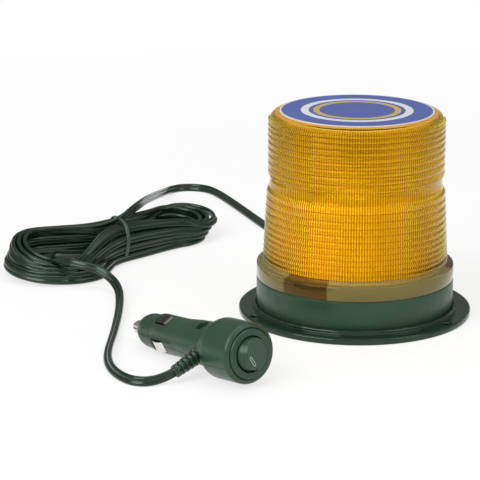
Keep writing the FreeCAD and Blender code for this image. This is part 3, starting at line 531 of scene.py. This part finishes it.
def round_edges():
    """Moulded parts have no knife edges: the sharp ones get a small round that catches the light."""
    for name, width in EDGE_ROUND.items():
        weld = nodes[name].modifiers.new("weld", "WELD")
        weld.merge_threshold = WELD_REACH * MM
        bevel = nodes[name].modifiers.new("edge round", "BEVEL")
        bevel.width = width * MM
        bevel.segments = EDGE_STEPS
        bevel.limit_method = "ANGLE"
        bevel.angle_limit = math.radians(EDGE_ANGLE)
        bevel.harden_normals = True
        bevel.use_clamp_overlap = False


# Mesh building blocks

def add_object(name, data):
    piece = bpy.data.objects.new(name, data)
    bpy.context.scene.collection.objects.link(piece)
    return piece


def add_piece(name, verts, faces, material, smooth=True):
    mesh = bpy.data.meshes.new(name)
    mesh.from_pydata(verts, [], faces)
    mesh.materials.append(material)
    if smooth:
        mesh.polygons.foreach_set("use_smooth", [True] * len(mesh.polygons))
    mesh.update()
    return add_object(name, mesh)


def ring_points(radius, height, count):
    """One ring of points; radius is a number or a function of the turn's share."""
    points = []
    for index in range(count):
        share = index / count
        reach = radius(share) if callable(radius) else radius
        turn = 2 * math.pi * share
        points.append((reach * math.cos(turn) * MM, reach * math.sin(turn) * MM, height * MM))
    return points


def bridge(first, second, count):
    """Quads between two rings that start at the given point numbers."""
    quads = []
    for index in range(count):
        after = (index + 1) % count
        quads.append((first + index, first + after, second + after, second + index))
    return quads


# Lens

RIB_FINISH = 0
FLUTE_FINISH = 1
SKIRT_FINISH = 2
# Finish of the lip rings: the lit copy of the amber, painted light
LIT_LIP_FINISH = 3
LIP_RINGS = 6


def rib_levels(low, high, count, growth):
    """Heights of the valleys; the last rib is growth times as high as the first."""
    shares = [1 + (growth - 1) * index / (count - 1) for index in range(count)]
    unit = (high - low) / sum(shares)
    levels = [low]
    for share in shares:
        levels.append(levels[-1] + unit * share)
    return levels


def rib_profile(low, high, low_r, high_r, count, growth):
    """Radius, height and closeness to a valley of flat-topped prism ribs between sharp valleys."""
    points = []
    levels = rib_levels(low, high, count, growth)
    for below, above in zip(levels, levels[1:]):
        for step in range(RIB_STEPS):
            share = step / RIB_STEPS
            height = below + (above - below) * share
            crest = low_r + (high_r - low_r) * (height - low) / (high - low)
            valley = abs(2 * share - 1) ** RIB_FLATNESS
            points.append((crest - RIB_DEPTH * valley, height, valley))
    return points


def round_corner(radius, height, size, steps):
    """Points of a quarter round that ends an upright wall of this radius at this height."""
    points = []
    for step in range(steps + 1):
        turn = math.radians(90 * step / steps)
        points.append((radius - size * (1 - math.cos(turn)), height - size * (1 - math.sin(turn))))
    return points


def skirt_outside():
    """Radius and height of the smooth skirt, from its foot to the first rib."""
    foot = [(WALL_R - 0.15, LENS_FOOT), (WALL_R, LENS_FOOT + 0.2)]
    shoulder = [(RIB_FOOT_R + 0.9, SKIRT_TOP + 0.35), (RIB_FOOT_R - 0.2, SKIRT_TOP + 0.9)]
    return foot + round_corner(WALL_R, SKIRT_TOP, SKIRT_ROUND, 3) + shoulder


def ribs_outside():
    """Radius and height from the first rib to the seat of the label."""
    lower = rib_profile(RIB_FOOT_Z, WAIST_LOW, RIB_FOOT_R, LOWER_TOP_R, LOWER_RIBS, LOWER_GROWTH)
    waist = [
        (WAIST_R + 0.5, WAIST_LOW + 0.1),
        (WAIST_R, WAIST_LOW + 0.7),
        (WAIST_R, WAIST_HIGH - 0.7),
        (WAIST_R + 0.4, WAIST_HIGH - 0.1),
    ]
    upper = rib_profile(WAIST_HIGH, RIB_TOP_Z, UPPER_R, UPPER_R, UPPER_RIBS, UPPER_GROWTH)
    lip = [
        (45.6, RIB_TOP_Z),
        (45.1, 107.3),
        (44.3, 108.2),
        (43.3, 108.8),
        (42.2, 109.2),
        (41.2, 109.4),
        (LABEL_SEAT_R + 0.05, LABEL_SEAT_Z + 0.1),
        (LABEL_SEAT_R, LABEL_SEAT_Z),
        (CROWN_R, LABEL_SEAT_Z),
    ]
    return lower + waist + upper + lip


def lens_inside():
    """Radius, height and share of the flute depth from the foot of the skirt to the roof."""
    return [
        (50.85, LENS_FOOT, 0.0),
        (50.7, LENS_FOOT + 0.2, 0.0),
        (50.7, 26.8, 0.0),
        (50.5, 27.2, 0.0),
        (47.2, 27.2, 0.0),
        (46.4, 27.5, 0.0),
        (46.25, 28.6, 1.0),
        (45.2, 48.0, 1.0),
        (44.0, WAIST_LOW, 1.0),
        (44.0, WAIST_HIGH, 1.0),
        (43.95, 90.0, 1.0),
        (43.9, 105.0, 1.0),
        (43.4, 106.4, 0.0),
        (42.6, ROOF_Z, 0.0),
        (CROWN_R, ROOF_Z, 0.0),
    ]


def fluted(radius, depth):
    """Radius as a function of the turn's share, with the flutes standing inwards."""
    def reach(share):
        return radius - depth * FLUTE_DEPTH * abs(math.sin(math.pi * FLUTES * share))
    return reach


def stack_rings(verts, faces, rings, count, inward=False):
    """Rings of points joined by quads; gives the first point number of each ring."""
    starts = []
    for radius, height in rings:
        starts.append(len(verts))
        verts += ring_points(radius, height, count)
    for first, second in zip(starts, starts[1:]):
        quads = bridge(first, second, count)
        faces += [tuple(reversed(quad)) for quad in quads] if inward else quads
    return starts


def close_ring(verts, faces, start, height, count, inward=False):
    """Triangles from a ring to a point on the axis."""
    tip = len(verts)
    verts.append((0.0, 0.0, height * MM))
    for index in range(count):
        after = start + (index + 1) % count
        faces.append((after, start + index, tip) if inward else (start + index, after, tip))


def close_foot(faces, outer, inner):
    """Foot of the skirt: the inner ring has twice as many points as the outer one."""
    for index in range(OUTSIDE_POINTS):
        after = outer + (index + 1) % OUTSIDE_POINTS
        near = inner + 2 * index
        far = inner + (2 * index + 2) % INSIDE_POINTS
        faces.append((outer + index, near, near + 1))
        faces.append((outer + index, near + 1, far, after))


def amber_lens():
    """Closed lens: ribbed outside, fluted inside, with three bayonet lugs in the skirt."""
    verts = []
    faces = []
    finishes = []
    valleys = []
    skirt = skirt_outside()
    outside = skirt + ribs_outside()
    outer = stack_rings(verts, faces, [ring[:2] for ring in outside], OUTSIDE_POINTS)
    for level, (_, _, *valley) in enumerate(outside):
        valleys += (valley or [0.0]) * OUTSIDE_POINTS
        finish = SKIRT_FINISH if level < len(skirt) else RIB_FINISH
        if level >= len(outside) - LIP_RINGS:
            finish = LIT_LIP_FINISH
        if level < len(outside) - 1:
            finishes += [finish] * OUTSIDE_POINTS
    close_ring(verts, faces, outer[-1], LABEL_SEAT_Z, OUTSIDE_POINTS)
    finishes += [RIB_FINISH] * (len(faces) - len(finishes))
    inside = [(fluted(radius, depth), height) for radius, height, depth in lens_inside()]
    inner = stack_rings(verts, faces, inside, INSIDE_POINTS, inward=True)
    close_ring(verts, faces, inner[-1], ROOF_Z, INSIDE_POINTS, inward=True)
    finishes += [FLUTE_FINISH] * (len(faces) - len(finishes))
    close_foot(faces, outer[0], inner[0])
    finishes += [SKIRT_FINISH] * (len(faces) - len(finishes))
    lens = add_piece("amber_lens", verts, faces, AMBER_RIBS)
    lens.data.materials.append(AMBER_FLUTES)
    lens.data.materials.append(AMBER_SKIRT)
    lens.data.materials.append(LIT_AMBER_LIP)
    lens.data.polygons.foreach_set("material_index", finishes)
    # Closeness to a rib valley, which the rib material turns into painted shade
    depth = lens.data.attributes.new(VALLEY, "FLOAT", "POINT")
    depth.data.foreach_set("value", valleys + [0.0] * (len(verts) - len(valleys)))
    add_lugs(lens.data)
    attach(lens, "lens")
    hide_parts("lens")


def add_lugs(mesh):
    """Three lugs on the inside of the skirt."""
    shape = bmesh.new()
    shape.from_mesh(mesh)
    corners = [
        (LUG_INNER_R, LUG_FOOT),
        (LUG_OUTER_R, LUG_FOOT),
        (LUG_OUTER_R, LUG_TOP),
        (LUG_INNER_R, LUG_TOP),
    ]
    for lug in range(LUG_COUNT):
        rows = []
        for step in range(LUG_STEPS + 1):
            turn = math.radians(360 / LUG_COUNT * lug + LUG_SWEEP * (step / LUG_STEPS - 0.5))
            row = []
            for radius, height in corners:
                place = (radius * math.cos(turn) * MM, radius * math.sin(turn) * MM, height * MM)
                row.append(shape.verts.new(place))
            rows.append(row)
        sides = []
        for row, after in zip(rows, rows[1:]):
            for a in range(len(corners)):
                b = (a + 1) % len(corners)
                sides.append(shape.faces.new((row[b], row[a], after[a], after[b])))
        sides.append(shape.faces.new(rows[0]))
        sides.append(shape.faces.new(list(reversed(rows[-1]))))
        for side in sides:
            side.material_index = SKIRT_FINISH
    bmesh.ops.recalc_face_normals(shape, faces=shape.faces)
    shape.to_mesh(mesh)
    shape.free()


# Swept lines

def hidden_section(name, points):
    """Closed flat outline that runs along a line; it isn't shown itself."""
    curve = bpy.data.curves.new(name, "CURVE")
    curve.dimensions = "2D"
    spline = curve.splines.new("POLY")
    spline.points.add(len(points) - 1)
    for point, (x, y) in zip(spline.points, points):
        point.co = (x, y, 0.0, 1.0)
    spline.use_cyclic_u = True
    section = add_object(name, curve)
    section.hide_render = True
    section.hide_viewport = True
    return section


def swept_line(name, section, route, twist, material, closed=False):
    """Section along one smooth line; the route has x, y, z in millimetres and the tilt in degrees."""
    curve = bpy.data.curves.new(name, "CURVE")
    curve.dimensions = "3D"
    curve.twist_mode = twist
    curve.bevel_mode = "OBJECT"
    curve.bevel_object = section
    curve.use_fill_caps = not closed
    spline = curve.splines.new("NURBS")
    spline.points.add(len(route) - 1)
    for point, (x, y, z, tilt) in zip(spline.points, route):
        point.co = (x * MM, y * MM, z * MM, 1.0)
        point.tilt = math.radians(tilt)
    spline.use_cyclic_u = closed
    spline.use_endpoint_u = not closed
    spline.order_u = 3
    spline.resolution_u = 8
    curve.materials.append(material)
    return add_object(name, curve)


# Lead: section in metres, places in millimetres, tilts in degrees

LEAD_WIDTH = 0.005
LEAD_THICK = 0.0026
CORE_SWEEP = 292.0
CORE_STEPS = 8
TO_HANK = [
    (-8.49, 60.41, 14.8),
    (-10.69, 76.05, 14.8),
    (-15.0, 95.0, 7.5),
    (-25.0, 120.0, 2.4),
    (-50.0, 150.0, 2.4),
    (-64.0, 183.0, 2.4),
    (-77.0, 214.0, 2.4),
    (-90.0, 243.0, 2.4),
    (-99.0, 255.0, 2.4),
    (-113.0, 257.0, 2.4),
    (-121.9, 248.0, 2.6),
    (-123.3, 226.0, 6.4),
    (-124.2, 200.0, 11.8),
    (-125.2, 172.0, 17.2),
    (-126.6, 143.0, 22.5),
    (-127.8, 122.5, 25.4),
    (-130.6, 109.5, 25.6),
    (-136.4, 99.0, 22.0),
]
TO_PLUG = [
    (-172.0, 52.0, 11.0),
    (-163.0, 38.5, 14.0),
    (-151.5, 33.0, 13.0),
    (-140.5, 33.8, 10.2),
    (-130.0, 24.0, 4.4),
    (-125.8, -4.0, 2.4),
    (-123.6, -50.0, 2.4),
    (-123.5, -88.0, 2.4),
    (-119.3, -110.0, 2.4),
    (-110.5, -125.5, 2.4),
    (-101.5, -130.5, 2.4),
    (-92.6, -127.6, 3.0),
    (-86.85, -123.3, 5.07),
]
TO_HANK_TILTS = (78, 84, 96, 112, 126, 130, 128, 118, 106, 98, 95, 98, 102, 105, 105, 102, 96, 90)
TO_PLUG_TILTS = (45, 40, 40, 40, 36, 32, 32, 38, 52, 68, 80, 86, 90)

# Hank: along its turns, across them and up from the floor, in millimetres, and tilts in degrees
HANK_AT = Vector((-140.0, 96.5, 0.0))
HANK_TURN = Matrix.Rotation(math.radians(48.0), 4, "Z")
WAIST_ACROSS = (11.0, 7.4, 3.8)
WAIST_TOP_ACROSS = (7.8, 4.8, 1.8)
WAIST_HEIGHT = (2.9, 8.1, 13.3, 18.5)
WAIST_HALF = 12.0
WAIST_TILT = 90.0
NEAR_SHIFT = 2.6
SPREAD_RUN = 15.0
LEFT_SPREAD = (0.65, 0.6)
RIGHT_SPREAD = (0.5, 0.5)
STRAY = 0.8
STRAY_STEP = 2.3
STRAY_START = 0.7
TURN_TILT = 72.0
TILT_SWAY = 14.0
TILT_STEP = 1.9

# Layer from the floor up and column from the outside in of each turn, from the top of the tie down
HANK_PLACES = [
    (3, 2), (3, 1), (3, 0), (2, 0), (2, 1), (2, 2),
    (1, 2), (1, 1), (1, 0), (0, 0), (0, 1), (0, 2),
]
TOP_LAYER = 3

# Values of a fold: in the lowest layer's outer column, then the step per layer and per column. The left
# tips are given layer by layer instead, because the two middle layers stand out furthest.
LEFT_FOLD = {
    "far": (24.5, 0.0, -1.7),
    "near": (-30.5, 4.2, 1.7),
    "far_z": (3.4, 5.2, 0.0),
    "near_z": (2.9, 0.4, 1.7),
}
LEFT_TIPS = (-69.5, -75.0, -71.5, -67.0)
LEFT_TIP_STEP = 3.2
LEFT_ANGLES = (84, 116, 148, 180, 212, 244, 276)
LEFT_CORNER = 1.04
RIGHT_FOLD = {
    "tip": (66.5, 3.0, -5.0),
    "far": (18.0, 0.0, -0.9),
    "near": (-13.6, 0.0, 0.5),
    "far_z": (3.2, 4.1, 0.0),
    "near_z": (2.9, 2.7, 0.0),
}
RIGHT_ANGLES = (-96, -48, 0, 48, 96)
RIGHT_CORNER = 1.12

# Way out of the last turn, under the tie and up on the left: along, across, height and tilt
HANK_END = [
    (24.0, 9.5, 3.0, 80.0),
    (6.0, 2.2, 2.9, 90.0),
    (-WAIST_HALF, 1.5, 3.4, 90.0),
    (-30.0, 5.0, 6.0, 60.0),
    (-44.0, 4.0, 9.5, 50.0),
]


def on_hank(along, across, height, tilt=0.0):
    """Point of the hank in the frame, with its tilt."""
    return (*(HANK_AT + HANK_TURN @ Vector((along, across, height))), tilt)


def fold_values(table, layer, column):
    return {name: first + up * layer + inwards * column for name, (first, up, inwards) in table.items()}


def between(first, second, share):
    return (1 - share) * first + share * second


def fold(values, angles, corner, tilt):
    """Points round one end of a turn; the far side and the near side have their own heights."""
    radius = 0.5 * (values["far"] - values["near"])
    points = []
    for angle in angles:
        sway = math.radians(angle)
        along = fold_middle(values) + corner * radius * math.cos(sway)
        across = 0.5 * (values["far"] + values["near"]) + corner * radius * math.sin(sway)
        height = between(values["near_z"], values["far_z"], 0.5 * (1 + math.sin(sway)))
        points.append((along, across, height, tilt))
    return points


def fold_middle(values):
    """Place along the hank of the middle of a fold's round."""
    radius = 0.5 * (values["far"] - values["near"])
    return values["tip"] + radius if values["tip"] < 0 else values["tip"] - radius


def spread_point(along, waist, height, values, side, shares, tilt):
    """Point between the waist and one side of a fold, with the fold's share across and in height."""
    across = between(waist, values[side], shares[0])
    return (along, across, between(height, values[side + "_z"], shares[1]), tilt)


def hank_turns():
    """Turns squeezed together under the tie and fanned out at both ends; each point has its tilt."""
    points = []
    right_was = 0.0
    for turn, (layer, column) in enumerate(HANK_PLACES):
        stray = STRAY * math.sin(STRAY_STEP * turn + STRAY_START)
        tilt = TURN_TILT + TILT_SWAY * math.sin(TILT_STEP * turn)
        waist = (WAIST_TOP_ACROSS if layer == TOP_LAYER else WAIST_ACROSS)[column]
        near_waist = -waist - NEAR_SHIFT
        height = WAIST_HEIGHT[layer]
        left = fold_values(LEFT_FOLD, layer, column)
        left["tip"] = LEFT_TIPS[layer] + LEFT_TIP_STEP * column + stray
        left_spread = fold_middle(left) + SPREAD_RUN
        right = fold_values(RIGHT_FOLD, layer, column)
        right["tip"] -= stray
        right_spread = fold_middle(right) - SPREAD_RUN
        if turn:
            points.append(spread_point(right_was, waist, height, right, "far", RIGHT_SPREAD, tilt))
            points.append((WAIST_HALF, waist, height, WAIST_TILT))
        points.append((-WAIST_HALF, waist, height, WAIST_TILT))
        points.append(spread_point(left_spread, waist, height, left, "far", LEFT_SPREAD, tilt))
        points += fold(left, LEFT_ANGLES, LEFT_CORNER, tilt)
        points.append(spread_point(left_spread, -waist, height, left, "near", LEFT_SPREAD, tilt))
        points.append((-WAIST_HALF, near_waist, height, WAIST_TILT))
        points.append((WAIST_HALF, near_waist, height, WAIST_TILT))
        points.append(spread_point(right_spread, -waist, height, right, "near", RIGHT_SPREAD, tilt))
        points += fold(right, RIGHT_ANGLES, RIGHT_CORNER, tilt)
        right_was = right_spread
    return [on_hank(*point) for point in points + HANK_END]


def figure_eight():
    """Outline of the twin lead: two cores side by side."""
    core = LEAD_THICK / 2
    offset = LEAD_WIDTH / 2 - core
    points = []
    for side, facing in ((1, 0.0), (-1, 180.0)):
        for step in range(CORE_STEPS + 1):
            turn = math.radians(facing + CORE_SWEEP * (step / CORE_STEPS - 0.5))
            points.append((side * offset + core * math.cos(turn), core * math.sin(turn)))
    return points


def twin_lead():
    """The whole lead as one line: grommet, hank and plug."""
    route = [(*place, tilt) for place, tilt in zip(TO_HANK, TO_HANK_TILTS)]
    route += hank_turns()
    route += [(*place, tilt) for place, tilt in zip(TO_PLUG, TO_PLUG_TILTS)]
    section = hidden_section("lead_section", figure_eight())
    lead = swept_line("twin_lead", section, route, "Z_UP", LEAD_BLACK)
    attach(lead, "beacon")
    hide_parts("cord_to_hank", "cord_hank", "cord_to_plug")
    return lead


# Tie: section in metres, loop on the hank in millimetres

TIE_WIDTH = 0.0022
TIE_THICK = 0.0009
TIE_POINTS = 16
TIE_LOOP = [
    (4.6, 4.0, 23.0),
    (2.0, -3.5, 23.0),
    (-1.0, -10.6, 21.8),
    (-2.5, -14.6, 17.4),
    (-3.4, -15.6, 11.5),
    (-5.0, -15.2, 4.2),
    (-5.2, -12.5, 0.9),
    (-2.0, -3.0, 0.8),
    (2.5, 5.0, 0.8),
    (6.0, 10.6, 1.2),
    (7.2, 12.6, 4.2),
    (7.4, 12.7, 11.5),
    (7.0, 11.8, 16.8),
    (6.0, 8.8, 21.6),
]


def wire_tie():
    """Flat wire tie round the waist of the hank, lying on the strands."""
    outline = []
    for step in range(TIE_POINTS):
        turn = 2 * math.pi * step / TIE_POINTS
        outline.append((0.5 * TIE_WIDTH * math.cos(turn), 0.5 * TIE_THICK * math.sin(turn)))
    section = hidden_section("tie_section", outline)
    route = [on_hank(*place) for place in TIE_LOOP]
    tie = swept_line("wire_tie", section, route, "MINIMUM", TIE_FILM, closed=True)
    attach(tie, "beacon")
    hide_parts("hank_tie")
    return tie


# Rocker mark, in millimetres and degrees

ROCKER_SLOPE = 16.0
FACE_MATCH = 0.999
MARK_LENGTH = 6.0
MARK_WIDTH = 1.9
MARK_LINE = 0.45
MARK_HEIGHT = 0.08
MARK_SINK = -0.02
MARK_ALONG = -4.9
MARK_ACROSS = -1.5
MARK_LEAN = 13.5
MARK_POINTS = 32
MARK_RINGS = [(0.0, MARK_SINK), (0.0, MARK_HEIGHT), (MARK_LINE, MARK_HEIGHT), (MARK_LINE, MARK_SINK)]


def rocker_mark():
    """Raised outline of an oblong on the rocker's face, for the off end."""
    axes = {joint["name"]: Vector(joint["axis"]) for joint in frame["joints"]}
    pin = axes["rocker_tilt"].normalized()
    outward = Matrix.Rotation(math.radians(ROCKER_SLOPE), 3, pin) @ -axes["nose_cap_turn"].normalized()
    flat = [face for face in nodes["rocker"].data.polygons if face.normal.dot(outward) > FACE_MATCH]
    area = sum(face.area for face in flat)
    centre = sum((face.center * face.area for face in flat), Vector()) / area
    side = pin.cross(outward).normalized()
    start = centre + side * MARK_ALONG * MM + pin * MARK_ACROSS * MM
    lean = Matrix.Rotation(math.radians(MARK_LEAN), 3, outward)
    long = lean @ pin
    wide = lean @ side
    reach = (MARK_LENGTH - MARK_WIDTH) / 2
    verts = []
    faces = []
    for inset, height in MARK_RINGS:
        radius = MARK_WIDTH / 2 - inset
        for step in range(MARK_POINTS):
            turn = 2 * math.pi * (step + 0.5) / MARK_POINTS
            shift = math.copysign(reach, math.sin(turn)) + radius * math.sin(turn)
            verts.append(start + (long * shift + wide * radius * math.cos(turn) + outward * height) * MM)
    for ring in range(len(MARK_RINGS)):
        after = (ring + 1) % len(MARK_RINGS)
        faces += bridge(MARK_POINTS * ring, MARK_POINTS * after, MARK_POINTS)
    mark = add_piece("rocker_mark", verts, faces, MARK_PALE, smooth=False)
    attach(mark, "rocker")


# Studio, in metres and watts

FLOOR_HALF = 4.0
FLOOR_NEAR = 0.3
FLOOR_FAR = 0.8
FLOOR_WHITE_SHARE = 0.72
FLOOR_COLOUR = (0.9, 0.9, 0.9)
FLOOR_GRAIN = 60.0
FLOOR_DETAIL = 2.0
FLOOR_ROUGHNESS = (0.85, 0.95)
ROOM_COLOUR = (1.0, 1.0, 1.0)
ROOM_FADE = 0.8
ROOM_FRONT = 0.6
ROOM_BACK = 0.24

# Name, place, point that it faces, side and power of each light
LIGHTS = [
    ("overhead", (0.0, 0.1, 1.2), (0.0, 0.0, 0.0), 1.0, 5.0),
    ("key", (-0.8, -0.9, 0.9), (0.0, 0.0, 0.05), 1.0, 13.0),
    ("fill", (0.9, -0.5, 0.7), (0.0, 0.0, 0.05), 0.7, 3.0),
]


def floor_white_share(tree):
    """Share of plain white in the floor: all of it far from the object, less where its shadow falls."""
    reach = tree.nodes.new("ShaderNodeVectorMath")
    reach.operation = "LENGTH"
    link(tree, object_place(tree), reach.inputs[0])
    return ramp(tree, reach.outputs["Value"], FLOOR_NEAR, FLOOR_FAR, FLOOR_WHITE_SHARE, 1.0)


def floor_material():
    """Matt white that glows where it is seen, also in reflections and through the lens."""
    material, tree, shader = new_material("studio white")
    feed(tree, shader.inputs["Base Color"], FLOOR_COLOUR)
    grain = noise(tree, FLOOR_GRAIN, FLOOR_DETAIL, object_place(tree))
    link(tree, ramp(tree, grain, *FLOW_RANGE, *FLOOR_ROUGHNESS), shader.inputs["Roughness"])
    rays = tree.nodes.new("ShaderNodeLightPath").outputs
    seen = math_node(tree, "MAXIMUM", rays["Is Camera Ray"], rays["Is Glossy Ray"])
    seen = math_node(tree, "MAXIMUM", seen, rays["Is Transmission Ray"])
    glow = math_node(tree, "MULTIPLY", seen, floor_white_share(tree))
    white = tree.nodes.new("ShaderNodeEmission")
    show_blend(tree, glow, shader.outputs["BSDF"], white.outputs["Emission"])
    return material


def room():
    """White surroundings, brighter in front; what the lens lets through sees them at full strength."""
    world = bpy.data.worlds.new("studio")
    bpy.context.scene.world = world
    world.use_nodes = True
    tree = world.node_tree
    background = tree.nodes["Background"]
    feed(tree, background.inputs["Color"], ROOM_COLOUR)
    way = axes_of(tree, tree.nodes.new("ShaderNodeTexCoord").outputs["Generated"])
    rays = tree.nodes.new("ShaderNodeLightPath")
    glow = ramp(tree, way["Y"], -ROOM_FADE, ROOM_FADE, ROOM_FRONT, ROOM_BACK)
    strength = math_node(tree, "MAXIMUM", glow, rays.outputs["Is Transmission Ray"])
    link(tree, strength, background.inputs["Strength"])


def soft_light(name, place, target, size, power):
    light = bpy.data.lights.new(name, "AREA")
    light.shape = "SQUARE"
    light.size = size
    light.energy = power
    lamp = add_object(name, light)
    lamp.location = place
    lamp.rotation_euler = (Vector(target) - Vector(place)).to_track_quat("-Z", "Y").to_euler()


def studio():
    """White floor, plain surroundings and three large soft lights."""
    corners = [(x * FLOOR_HALF, y * FLOOR_HALF, 0.0) for x, y in ((-1, -1), (1, -1), (1, 1), (-1, 1))]
    floor = add_piece("studio_floor", corners, [(0, 1, 2, 3)], floor_material())
    room()
    for light in LIGHTS:
        soft_light(*light)


# Camera: place in metres, turns in degrees, lens in millimetres

CAMERA_AT = (0.0, -1.09013, 0.33974)
CAMERA_DOWN = 15.447
CAMERA_LEFT = 3.228
CAMERA_LENS = 158.9
CAMERA_SENSOR = 36.0
CAMERA_END = 20.0


def camera():
    lens = bpy.data.cameras.new("camera")
    lens.sensor_width = CAMERA_SENSOR
    lens.lens = CAMERA_LENS
    lens.clip_end = CAMERA_END
    eye = add_object("camera", lens)
    eye.location = CAMERA_AT
    eye.rotation_euler = (math.radians(90 - CAMERA_DOWN), 0.0, math.radians(CAMERA_LEFT))
    bpy.context.scene.camera = eye


# Scene

bpy.context.scene.view_settings.view_transform = "Standard"
finish_cad_nodes()
round_edges()
amber_lens()
rocker_mark()
tie = wire_tie()
lead = twin_lead()
studio()
camera()
